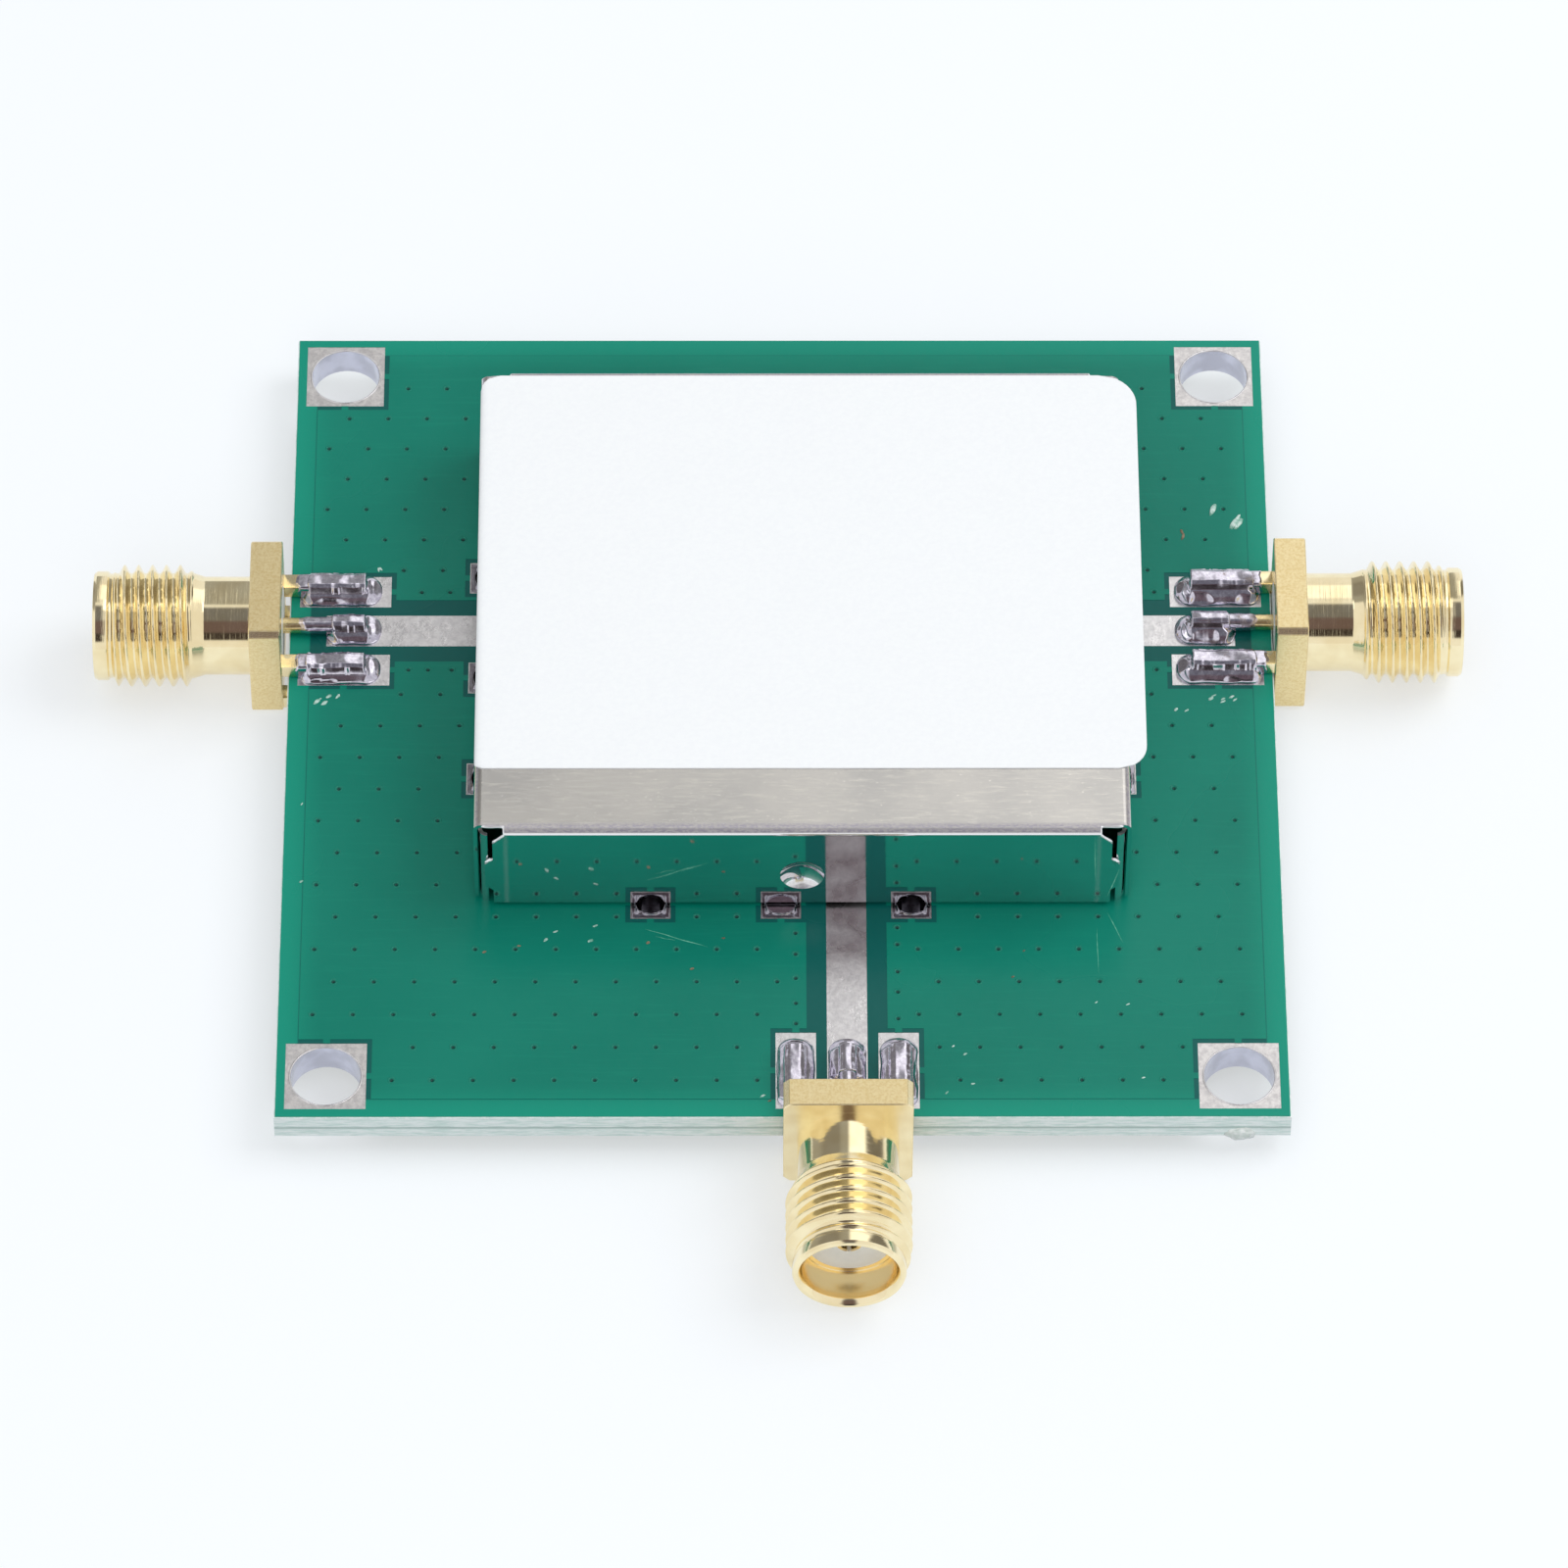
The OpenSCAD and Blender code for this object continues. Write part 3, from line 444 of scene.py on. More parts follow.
def new_piece(name, verts, faces, material, matrix=Matrix(), sharp=None):
    """A piece that rides on the board. sharp is the angle in degrees over which an edge stays sharp."""
    mesh = bpy.data.meshes.new(name)
    mesh.from_pydata([Vector(v) * MM for v in verts], [], faces)
    mesh.validate()
    mesh.materials.append(material)
    fix_normals(mesh)
    mesh.shade_smooth()
    if sharp is not None:
        mesh.set_sharp_from_angle(angle=math.radians(sharp))
    piece = new_object(name, mesh, matrix)
    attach(piece, "root")
    return piece


def circle(around):
    """Cosine and sine of that many equal steps round a full turn."""
    angles = [math.tau * k / around for k in range(around)]
    return [(math.cos(a), math.sin(a)) for a in angles]


def fix_normals(mesh):
    work = bmesh.new()
    work.from_mesh(mesh)
    bmesh.ops.recalc_face_normals(work, faces=work.faces)
    work.to_mesh(mesh)
    work.free()


def ring_faces(first, rings, around, loop=False):
    """Quads between each closed ring of points and the next and, in a loop, from the last to the first."""
    faces = []
    for i in range(rings if loop else rings - 1):
        a = first + i * around
        b = first + (i + 1) % rings * around
        for j in range(around):
            k = (j + 1) % around
            faces.append((a + j, a + k, b + k, b + j))
    return faces


def tube_faces(first, rings, around):
    """Quads between the rings, and a flat end on the first and the last."""
    last = first + (rings - 1) * around
    ends = [tuple(range(start, start + around)) for start in (first, last)]
    return ring_faces(first, rings, around) + ends


def grid_rim(rows, columns):
    """The points round the edge of a grid with that many cells."""
    width = columns + 1
    rim = list(range(columns)) + [i * width + columns for i in range(rows)]
    return rim + [rows * width + j for j in range(columns, 0, -1)] + [i * width for i in range(rows, 0, -1)]


def wobble(x, y, z=0.0):
    return noise.noise(Vector((x, y, z)))


def smooth(t):
    t = min(1.0, max(0.0, t))
    return t * t * (3 - 2 * t)


def jack_matrix(x, y, turn):
    turned = Matrix.Rotation(math.radians(turn), 4, "Z") @ Matrix.Rotation(math.radians(90), 4, "X")
    return Matrix.Translation(Vector((x, y, AXIS_Z)) * MM) @ turned


JACK_GAPS = {"left": EDGE_GAP, "right": RIGHT_EDGE_GAP, "front": EDGE_GAP}
JACK_SHIFTS = {"left": 0.0, "right": RIGHT_SHIFT, "front": 0.0}
JACKS = {
    "left": jack_matrix(-BOARD_HALF - EDGE_GAP, SIDE_PORT_Y, -90),
    "right": jack_matrix(BOARD_HALF + RIGHT_EDGE_GAP, SIDE_PORT_Y + RIGHT_SHIFT, 90),
    "front": jack_matrix(FRONT_PORT_X, -BOARD_HALF - EDGE_GAP, 0),
}
BODY_END = FLANGE_T + BARREL_L
THREAD_END = BODY_END - LEAD_IN_L
THREAD_START = THREAD_END - THREAD_L
INSULATOR_END = BODY_END - MOUTH_DEPTH
PAD_LEVEL = BOARD_T - AXIS_Z


def thread_radius(z, angle):
    """Radius of a right-hand thread that fades out at both ends."""
    crest, root, roundness = 0.04, 0.06, 0.55
    fade_in, fade_out = 0.5 * THREAD_PITCH, 0.35 * THREAD_PITCH
    phase = (z / THREAD_PITCH - angle / math.tau) % 1.0
    down = min(1.0, max(0.0, (abs(phase - 0.5) - root) / (0.5 - crest - root)))
    rounded = (1 - roundness) * down + roundness * (1 - math.cos(math.pi * down)) / 2
    fade = max(0.0, min(1.0, (z - THREAD_START) / fade_in, (THREAD_END - z) / fade_out))
    return THREAD_D / 2 - THREAD_DEPTH * (1 - rounded * fade)


def jack_profile():
    """Radius and height of the barrel's rings, from the flange to the mouth and back down inside. A radius of
    None follows the thread."""
    neck_r = NECK_D / 2
    mouth_r = MOUTH_D / 2
    bore_r = INSULATOR_D / 2
    root_r = THREAD_D / 2 - THREAD_DEPTH
    groove_r = root_r - 0.02
    collar_r = root_r + 0.1
    neck_end = THREAD_START - NECK_CONE_L
    profile = [(neck_r, FLANGE_T / 2), (neck_r, FLANGE_T + 0.3), (neck_r, neck_end - 0.13),
               (neck_r, neck_end - 0.05), (neck_r + 0.02, neck_end), (groove_r, THREAD_START - 0.05)]
    steps = int(THREAD_L / THREAD_PITCH * 34)
    profile += [(None, THREAD_START + THREAD_L * i / steps) for i in range(steps + 1)]
    # Radius and height over the thread's end of the groove and the collar's lower edge, then radius and depth
    # under the barrel's end of the collar's upper edge and the mouth's chamfer
    collar_low = [(groove_r, 0.04), (groove_r, 0.16), (collar_r - 0.02, 0.24), (collar_r, 0.3)]
    collar_top = [(collar_r, 0.16), (collar_r - 0.03, 0.12), (collar_r - 0.08, 0.02), (collar_r - 0.12, 0.0)]
    chamfer = [(mouth_r + 0.22, 0.0), (mouth_r + 0.18, 0.03), (mouth_r + 0.02, 0.24), (mouth_r, 0.3)]
    profile += [(r, THREAD_END + up) for r, up in collar_low]
    profile += [(r, BODY_END - down) for r, down in collar_top + chamfer]
    profile += [(mouth_r, INSULATOR_END + 0.04), (mouth_r - 0.03, INSULATOR_END), (bore_r, INSULATOR_END),
                (bore_r, FLANGE_T / 2)]
    return profile


def flange_reach(c, s, inset):
    """How far the square flange with its chamfered corners reaches in a direction, less a bevel's inset."""
    half = FLANGE_W / 2 - inset
    corner = FLANGE_W - FLANGE_CHAMFER - inset * math.sqrt(2)
    return min(half / max(abs(c), abs(s)), corner / (abs(c) + abs(s)))


def jack_shell():
    """Points and faces of the barrel and the flange of a jack, along its own axis."""
    around = 128
    bevel = 0.05
    steps = circle(around)
    verts = []
    profile = jack_profile()
    for r, z in profile:
        for j, (c, s) in enumerate(steps):
            radius = thread_radius(z, math.tau * j / around) if r is None else r
            verts.append((radius * c, radius * s, z))
    faces = ring_faces(0, len(profile), around, loop=True)
    first = len(verts)
    outline = [(bevel, 0.0), (0.0, bevel), (0.0, FLANGE_T - bevel), (bevel, FLANGE_T)]
    rings = [(None, 0.0), *outline, (None, FLANGE_T)]
    for inset, z in rings:
        for c, s in steps:
            radius = INSULATOR_D / 2 if inset is None else flange_reach(c, s, inset)
            verts.append((radius * c, radius * s, z))
    return verts, faces + ring_faces(first, len(rings), around, loop=True)


def leg_points():
    """Centre of each leg across the board and its height over the jack's axis."""
    up = PAD_LEVEL + SOLDER_GAP + LEG_H / 2
    down = PAD_LEVEL - BOARD_T - SOLDER_GAP - LEG_H / 2
    return [(s * LEG_OUT, y) for s in (-1, 1) for y in (up, down)]


def add_legs(piece):
    length = LEG_L + FLANGE_T / 2
    mesh = bmesh.new()
    mesh.from_mesh(piece.data)
    for x, y in leg_points():
        box = bmesh.ops.create_cube(mesh, size=1.0)["verts"]
        bmesh.ops.scale(mesh, vec=Vector((LEG_W, LEG_H, length)) * MM, verts=box)
        bmesh.ops.translate(mesh, vec=Vector((x, y, FLANGE_T / 2 - length / 2)) * MM, verts=box)
        edges = list(dict.fromkeys(e for v in box for e in v.link_edges))
        bmesh.ops.bevel(mesh, geom=edges, offset=LEG_BEVEL * MM, segments=2, profile=0.5, affect="EDGES")
    for f in mesh.faces:
        f.smooth = True
    mesh.to_mesh(piece.data)
    mesh.free()


def make_jacks(material):
    verts, faces = jack_shell()
    for name, matrix in JACKS.items():
        body = new_piece(name + "_jack_shell", verts, faces, material, matrix)
        add_legs(body)
        body.data.set_sharp_from_angle(angle=math.radians(32))
        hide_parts(name + "_jack_body")


class Joint:
    """A solder joint over a leg: u runs along the leg from the flange, v across it from the pad's middle,
    and heights are over the pad."""

    # Reach of the foot behind the fillet's start, and length over which that end is rounded
    TAIL = 0.36
    TAIL_ROUND = 0.55
    # Width and depth of the coat's rounded edges, and distance over which the coat falls beside the leg
    EDGE_W = 0.3
    EDGE_DROP = 0.12
    COAT_FALL = 0.2
    # Lengths over which the fillet ends past the leg's tip and before its own start
    FILLET_PAST = 0.5
    FILLET_BEFORE = 0.33

    def __init__(self, core, top, reach, offset, start, seed):
        self.core, self.top, self.reach, self.offset = core, top, reach, offset
        self.start, self.seed = start, seed
        self.nose = 0.86 + 0.12 * wobble(seed, 5.1)
        self.nose_top = 0.5 + 0.12 * wobble(seed, 8.3)
        self.bow = 0.3 + 0.35 * wobble(seed, 2.9)
        self.end = LEG_L + 0.05
        self.back = self.start - self.TAIL

    def half_width(self, u):
        """Half the width of the joint's foot, rounded off towards both ends."""
        t = (self.back + self.TAIL_ROUND - u) / self.TAIL_ROUND
        if u > self.end:
            t = (u - self.end) / self.nose
        edge = self.reach * (1.0 + 0.05 * wobble(u * 1.3, self.seed, 3.0))
        return max(0.05, edge * math.sqrt(max(0.0, 1.0 - max(0.0, min(1.0, t)) ** 2.3)))

    def fillet(self, u, share, flank):
        """Height of the fillet as a part of the coat's top, between a hollow and a full one. share is 0 at
        the leg and 1 at the foot's edge."""
        full = max(0.1, min(0.9, 0.5 + 0.8 * wobble(u * 0.6 + self.seed, flank)))
        rise = max(0.7, min(1.0, 0.86 + 0.4 * wobble(u * 0.5 + self.seed, flank, 4.0)))
        return rise * ((1.0 - share) ** 1.4 * (1.0 - full) + math.sqrt(max(0.0, 1.0 - share ** 2)) * full)

    def height(self, u, v):
        w = v - self.offset
        half = self.half_width(u)
        core = self.core + 0.03 * wobble(u * 2.6, self.seed) + 0.012 * wobble(u * 6.0, self.seed, 2.0)
        side = max(0.0, abs(w) - core)
        room = max(0.12, half - core + (self.offset if w < 0 else -self.offset))
        start = self.start + self.bow * (abs(v) / self.reach) ** 2
        before, past = max(0.0, start - u), max(0.0, u - self.end)
        top = self.top - smooth((abs(w) - core + self.EDGE_W) / self.EDGE_W) * self.EDGE_DROP
        coat = top * (1.0 - smooth(math.hypot(side, before, past) / self.COAT_FALL))
        fillet = top * self.fillet(u, min(1.0, side / room), 1.7 if w > 0 else 6.2)
        fillet *= max(0.0, 1.0 - past / self.FILLET_PAST) ** 1.2 * max(0.0, 1.0 - before / self.FILLET_BEFORE)
        along = (u - self.end - 0.3 * self.nose) / (0.7 * self.nose)
        out = math.hypot(along, (v + 0.06) / (0.95 * self.reach))
        nose = self.nose_top * max(0.0, 1.0 - out ** 2) ** 0.7
        film = 0.05 + 0.03 * wobble(u * 1.1, v * 1.1, self.seed)
        height = self.soft_max(self.soft_max(self.soft_max(fillet, nose, 0.3), film, 0.1), coat, 0.07)
        lumps = 0.16 * wobble(u * 0.8 + self.seed, v * 1.1, self.seed)
        lumps += 0.03 * wobble(u * 2.0, v * 1.6, self.seed)
        if before == past == 0.0:
            beside = smooth(side / self.COAT_FALL)
            lumps = lumps * (0.5 + 0.5 * beside) + 0.045 * (1.0 - beside)
        height = max(0.0, height + lumps * min(1.0, height / 0.35))
        rim = max(0.0, min(half - abs(v), u - self.back, self.end + self.nose - u))
        return min(height, 0.01 + 0.7 * math.sqrt(rim)) if side > 0.0 or past > 0.05 else height

    @staticmethod
    def soft_max(a, b, blend):
        """The larger of two heights, rounded where they are closer than blend."""
        near = max(0.0, blend - abs(a - b)) / blend
        return max(a, b) + near * near * blend / 4

    def add_to(self, verts, faces, across, flip):
        """A skin over the leg with a flat underside on the pad."""
        rows, columns = 100, 50
        width = columns + 1
        base = PAD_LEVEL - (BOARD_T if flip < 0 else 0.0)
        first = len(verts)
        for i in range(rows + 1):
            part = 0.6 * i / rows + 0.2 * (1 - math.cos(math.pi * i / rows))
            u = self.back + (self.end + self.nose - self.back) * part
            half = self.half_width(u)
            for j in range(columns + 1):
                v = half * math.sin(math.pi * (j / columns - 0.5) * 0.8) / math.sin(math.pi * 0.4)
                on_rim = i in (0, rows) or j in (0, columns)
                height = 0.004 if on_rim else 0.01 + self.height(u, v)
                verts.append((across + v, base + flip * height, -u))
        for i in range(rows):
            for j in range(columns):
                low = first + i * width + j
                faces.append((low, low + 1, low + width + 1, low + width))
        rim = [first + k for k in grid_rim(rows, columns)]
        under = len(verts)
        count = len(rim)
        verts += [(verts[k][0], base, verts[k][2]) for k in rim]
        faces += [(rim[k], rim[(k + 1) % count], under + (k + 1) % count, under + k) for k in range(count)]
        faces.append(tuple(range(under, under + count)))


def add_coat(verts, faces, start, stop, seed, centre=(0.0, 0.0), half=(PIN_D / 2, PIN_D / 2), power=2):
    """A thin coat of solder round a pin or, with a high power, round a square leg."""
    rings, around = 20, 36
    first = len(verts)
    for i in range(rings + 1):
        t = i / rings
        for c, s in circle(around):
            ragged = (1.0 - t) * 0.14 * wobble(1.5 * c + seed, 1.5 * s, 7.0)
            u = start + (stop - start) * t + ragged
            swell = (0.045 + 0.02 * wobble(u * 2.0, c + seed, s)) * smooth(i / 3)
            shares = (abs(c) / (half[0] + swell)) ** power + (abs(s) / (half[1] + swell)) ** power
            radius = 1.0 / shares ** (1 / power)
            verts.append((centre[0] + radius * c, centre[1] + radius * s, -u))
    faces += tube_faces(first, rings + 1, around)


def make_solder(materials):
    coat, margin = 0.08, 0.06
    for seed, (name, matrix) in enumerate(JACKS.items()):
        verts, faces = [], []
        gap, shift = JACK_GAPS[name], JACK_SHIFTS[name]
        ground_start = gap + PAD_INSET + 0.4
        strip_start = gap + STRIP_INSET + 0.3
        for k, s in enumerate((-1, 1)):
            across = s * PAD_OUT - shift
            for flip in (1, -1):
                joint = Joint(LEG_W / 2 + coat, SOLDER_GAP + LEG_H + coat, PAD_W / 2 - margin,
                              s * LEG_OUT - across, ground_start, 7.3 * seed + 3.1 * k + flip)
                joint.add_to(verts, faces, across, flip)
        joint = Joint(PIN_D / 2 + 0.02, SOLDER_GAP + PIN_D + coat, STRIP_W / 2 - margin, shift, strip_start,
                      7.3 * seed + 20.7)
        joint.add_to(verts, faces, -shift, 1)
        add_coat(verts, faces, BARE_LEG_L, strip_start + 0.3, seed)
        for k, centre in enumerate(leg_points()):
            start = ground_start - 0.5 + 0.2 * wobble(seed, k + 0.5)
            half = (LEG_W / 2, LEG_H / 2)
            add_coat(verts, faces, start, ground_start + 0.3, seed + 2.0 * k, centre, half, power=8)
        piece = new_piece(name + "_jack_joints", verts, faces, materials[name], matrix, sharp=75)
        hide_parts(name + "_jack_solder")


def via_places():
    """Centres of the small round holes through the top mask."""
    work = bmesh.new()
    work.from_mesh(nodes["top_solder_mask"].data)
    bmesh.ops.remove_doubles(work, verts=work.verts, dist=0.0001 * MM)
    walls = {f for f in work.faces if abs(f.normal.z) < 0.1}
    places = []
    while walls:
        group = [walls.pop()]
        for face in group:
            joined = {n for e in face.edges for n in e.link_faces} & walls
            walls -= joined
            group.extend(joined)
        xs = [v.co.x / MM for face in group for v in face.verts]
        ys = [v.co.y / MM for face in group for v in face.verts]
        if max(max(xs) - min(xs), max(ys) - min(ys)) < VIA_D + 0.05:
            places.append(((max(xs) + min(xs)) / 2, (max(ys) + min(ys)) / 2))
    work.free()
    return sorted(places)


def make_via_fill(material):
    """Hollow drops of mask that close the vias on both sides, each with a faint raised ring."""
    # Radius and height over the mask's surface
    profile = [(0.045, -0.068), (0.09, -0.045), (0.125, -0.012), (0.15, 0.006), (0.18, 0.007),
               (0.215, -0.002)]
    # Depth of the middle of a drop's hollow, and of the drop's tip
    depths = (0.075, 0.12)
    around = 12
    steps = circle(around)
    verts, faces = [], []
    for x, y in via_places():
        for level, flip in ((BOARD_T + MASK_T, 1), (-MASK_T, -1)):
            first = len(verts)
            verts += [(x + r * c, y + r * s, level + flip * lift) for r, lift in profile for c, s in steps]
            middle = len(verts)
            verts += [(x, y, level - flip * depth) for depth in depths]
            faces += ring_faces(first, len(profile), around)
            outer = middle - around
            for k in range(around):
                n = (k + 1) % around
                faces += [(middle, first + k, first + n), (middle + 1, outer + n, outer + k)]
    new_piece("via_fill", verts, faces, material)


def add_tube(verts, faces, points, radius, seed):
    """A closed round bead along a line of points."""
    around = 10
    spacing = 0.06
    points = [Vector(p) for p in points]
    line = []
    for a, b in zip(points, points[1:]):
        count = max(1, round((b - a).length / spacing))
        line += [a.lerp(b, i / count) for i in range(count)]
    line.append(points[-1])
    last = len(line) - 1
    first = len(verts)
    for i, p in enumerate(line):
        ahead = (line[min(i + 2, last)] - line[max(i - 2, 0)]).normalized()
        side = ahead.cross(Vector((0.3, 1.0, 0.2))).normalized()
        up = ahead.cross(side)
        taper = math.sqrt(min(1.0, (0.5 + min(i, last - i)) / 3))
        r = radius * taper * (1.0 + 0.35 * wobble(p.x * 2.3 + seed, p.y * 2.3, p.z * 2.3))
        verts += [tuple(p + side * (r * c) + up * (r * s)) for c, s in circle(around)]
    faces += tube_faces(first, len(line), around)


def make_sheared_edges(material):
    """Burrs on the cut edges of the cover's stepped corners."""
    wall = CAN_HALF_W - SHEET_T / 2
    fold = CAN_HALF_W - CAN_BEND_R
    level = CAN_TOP - SHEET_T / 2
    shoulder = CAN_TOP - CAN_BEND_R
    step = CAN_TOP - MIDDLE_STEP_Z
    # Radius of each burr, and its line as distance in from the side wall, distance from the middle and height
    burrs = [
        (0.085, [(0.42, fold, level), (RELIEF_L - 0.1, fold, level), (RELIEF_L, fold + 0.08, level),
                 (RELIEF_L, wall - 0.1, level - 0.06), (RELIEF_L, wall, shoulder),
                 (UPPER_STEP, wall, shoulder - SHOULDER_H)]),
        (0.11, [(UPPER_STEP, wall, step), (MIDDLE_STEP, wall, step - STEP_H)]),
        (0.1, [(0.62, CAN_HALF_W - 0.35, BOARD_T + 0.35), (0.5, CAN_HALF_W - 0.42, BOARD_T + 0.75)]),
    ]
    verts, faces = [], []
    for sx in (-1, 1):
        for sy in (-1, 1):
            for k, (radius, line) in enumerate(burrs):
                points = [(CAN_X + sx * (CAN_HALF_L - into), CAN_Y + sy * y, z) for into, y, z in line]
                add_tube(verts, faces, points, radius, 3.0 * sx + sy + 0.7 * k)
    new_piece("sheared_edges", verts, faces, material)


def make_leg_solder(material):
    """Rims and ridges of solder on the pads of the shield's legs."""
    verts, faces = [], []
    around, rings = 48, 12
    spread_x, spread_y = LEG_SPREAD
    side_y = SIDE_PORT_Y + SIDE_LEG_SHIFT
    steps = [k * LEG_PITCH for k in (-1.5, -0.5, 0.5)]
    places = [(FRONT_PORT_X + step, CAN_Y + s * spread_y) for step in steps for s in (-1, 1)]
    places += [(CAN_X + s * spread_x, side_y + step) for step in steps for s in (-1, 1)]
    inner = LEG_HOLE_D / 2 - 0.03
    for seed, (x, y) in enumerate(places):
        first = len(verts)
        for i in range(rings + 1):
            t = i / rings
            for c, s in circle(around):
                square = 1.0 / max(abs(c), abs(s))
                outer = (LEG_PAD / 2 - 0.06) * square * (1.0 + 0.03 * wobble(3 * c + seed, 3 * s))
                r = inner + (outer - inner) * t
                corner = smooth((square - 1.12) / 0.28)
                lip = 0.13 * math.exp(-((t - 0.16 - 0.12 * corner) / 0.13) ** 2)
                ridge = 0.10 * corner * (1 - t) * (0.7 + 0.6 * wobble(c * 2 + seed, s * 2, 1.0))
                height = 0.002
                if 0 < i < rings:
                    height = 0.006 + (lip + ridge) * (1.0 + 0.5 * wobble(c * 3 + seed, s * 3, t))
                verts.append((x + r * c, y + r * s, BOARD_T + height))
        faces += ring_faces(first, rings + 1, around, loop=True)
    new_piece("leg_pad_solder", verts, faces, material)


def make_hole_rims(material):
    """Rounded lips of plating round the mounting holes."""
    around, tube = 72, 8
    lip, sunk = 0.05, 0.02
    middle_r = MOUNT_HOLE_D / 2 + 0.03
    verts, faces = [], []
    for sx in (-1, 1):
        for sy in (-1, 1):
            x, y = sx * MOUNT_SPACING / 2, sy * MOUNT_SPACING / 2
            first = len(verts)
            for c, s in circle(around):
                swell = lip * (1.0 + 0.5 * wobble(2 * c + sx, 2 * s + sy))
                for out, up in circle(tube):
                    r = middle_r + swell * out
                    verts.append((x + r * c, y + r * s, BOARD_T - sunk + swell * up))
            faces += ring_faces(first, around, tube, loop=True)
    new_piece("mounting_hole_rims", verts, faces, material)


def make_label(material):
    """The label with four different corners, slight waves, and a left edge that follows the shield's bend."""
    low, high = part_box("label")
    x0, y0, z0 = (c / MM for c in low)
    x1, y1, z1 = (c / MM for c in high)
    corner_r = {(-1, 1): 1.0, (1, 1): 1.9, (1, -1): 1.4, (-1, -1): 0.4}
    rows, columns = 72, 96
    under, wave_room = 0.004, 0.035
    thickness = z1 - z0 - wave_room
    wave, crease_wave = 0.02, 0.03
    crease_x, crease_w = x0 + 1.6, 1.3

    def edge_in(y, side):
        """How far the edge on that side lies inside the box at height y."""
        for end, limit in ((1, y1), (-1, y0)):
            r = corner_r[(side, end)]
            depth = r - abs(limit - y)
            if depth > 0:
                return r - math.sqrt(max(0.0, r * r - depth * depth))
        return 0.0

    def drop(x):
        """How far the left edge hangs down where it follows the shield's bend."""
        past = min(CAN_BEND_R, max(0.0, CAN_X - CAN_HALF_L + CAN_BEND_R - x))
        return 0.45 * (CAN_BEND_R - math.sqrt(max(0.0, CAN_BEND_R ** 2 - past ** 2)))

    verts = []
    for layer in (0, 1):
        for i in range(rows + 1):
            t = (1 - math.cos(math.pi * i / rows)) / 2
            y = y0 + (y1 - y0) * (0.6 * i / rows + 0.4 * t)
            left, right = x0 + edge_in(y, -1), x1 - edge_in(y, 1)
            for j in range(columns + 1):
                x = left + (right - left) * (j / columns) ** 1.35
                lift = under
                if layer:
                    crease = math.exp(-((x - crease_x) / crease_w) ** 2)
                    lift = thickness + wave * max(0.0, wobble(x * 0.23, y * 0.31, 4.0))
                    lift += crease_wave * crease * max(0.0, wobble(x * 0.9, y * 0.35, 9.0))
                verts.append((x, y, z0 + lift - drop(x)))
    width = columns + 1
    count = (rows + 1) * width
    faces = []
    for i in range(rows):
        for j in range(columns):
            start = i * width + j
            quad = (start, start + width, start + width + 1, start + 1)
            faces.append(quad)
            faces.append(tuple(k + count for k in reversed(quad)))
    rim = grid_rim(rows, columns)
    for a, b in zip(rim, rim[1:] + rim[:1]):
        faces.append((a, b, b + count, a + count))
    piece = new_piece("paper_label", verts, faces, material, sharp=40)
    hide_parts("label")


# Patches of residue: middle on the board, spread to each side of it, number of specks, length of the longest
# one and lean in degrees
WHITE_PATCHES = [
    ((2 - BOARD_HALF, SIDE_PORT_Y - 4.5), (0.7, 0.3), 4, 0.5, 50),
    ((5 - BOARD_HALF, SIDE_PORT_Y + 4), (0.6, 0.1), 2, 0.4, 120),
    ((1 - BOARD_HALF, -1), (0.1, 10), 3, 0.25, 30),
    ((BOARD_HALF - 2, SIDE_PORT_Y + 7.5), (0.8, 0.6), 3, 1.1, 62),
    ((BOARD_HALF - 2.3, SIDE_PORT_Y - 4.5), (1.0, 0.4), 6, 0.32, 40),
    ((BOARD_HALF - 5, SIDE_PORT_Y - 5.3), (0.6, 0.3), 2, 0.28, 20),
    ((FRONT_PORT_X - 15, CAN_Y - CAN_HALF_W - 2.2), (4, 1.0), 4, 0.3, 30),
    ((FRONT_PORT_X - 4, 2 - BOARD_HALF), (1.0, 0.9), 3, 0.35, 50),
    ((FRONT_PORT_X + 5.5, 3 - BOARD_HALF), (0.7, 1.8), 4, 0.25, 30),
    ((FRONT_PORT_X + 14, 4 - BOARD_HALF), (4, 3), 3, 0.24, 30),
]
BROWN_PATCHES = [
    ((BOARD_HALF - 4.5, SIDE_PORT_Y + 6.3), (0.15, 0.2), 2, 0.5, 100),
    ((FRONT_PORT_X - 11, CAN_Y - CAN_HALF_W - 3), (7, 1.0), 5, 0.25, 20),
    ((FRONT_PORT_X + 8.7, CAN_Y - CAN_HALF_W - 4), (1.5, 1.2), 2, 0.24, 20),
    ((FRONT_PORT_X - 4, 1 - BOARD_HALF), (0.4, 0.1), 1, 0.25, 40),
    ((2 - BOARD_HALF, SIDE_PORT_Y + 2), (0.3, 0.2), 1, 0.25, 0),
]
# Scratches: how far the start lies to the right of the front strip and in front of the shield, length, turn
# in degrees and width
SCRATCHES = [
    (-10, 1.5, 3.3, -20, 0.07),
    (-9.5, 2, 1, -12, 0.05),
    (12.5, 1.5, 2.8, -90, 0.05),
    (13, 0.5, 2, -68, 0.06),
]
# Specks and scratches start a little under the mask's surface
MARK_Z = BOARD_T + MASK_T - 0.004


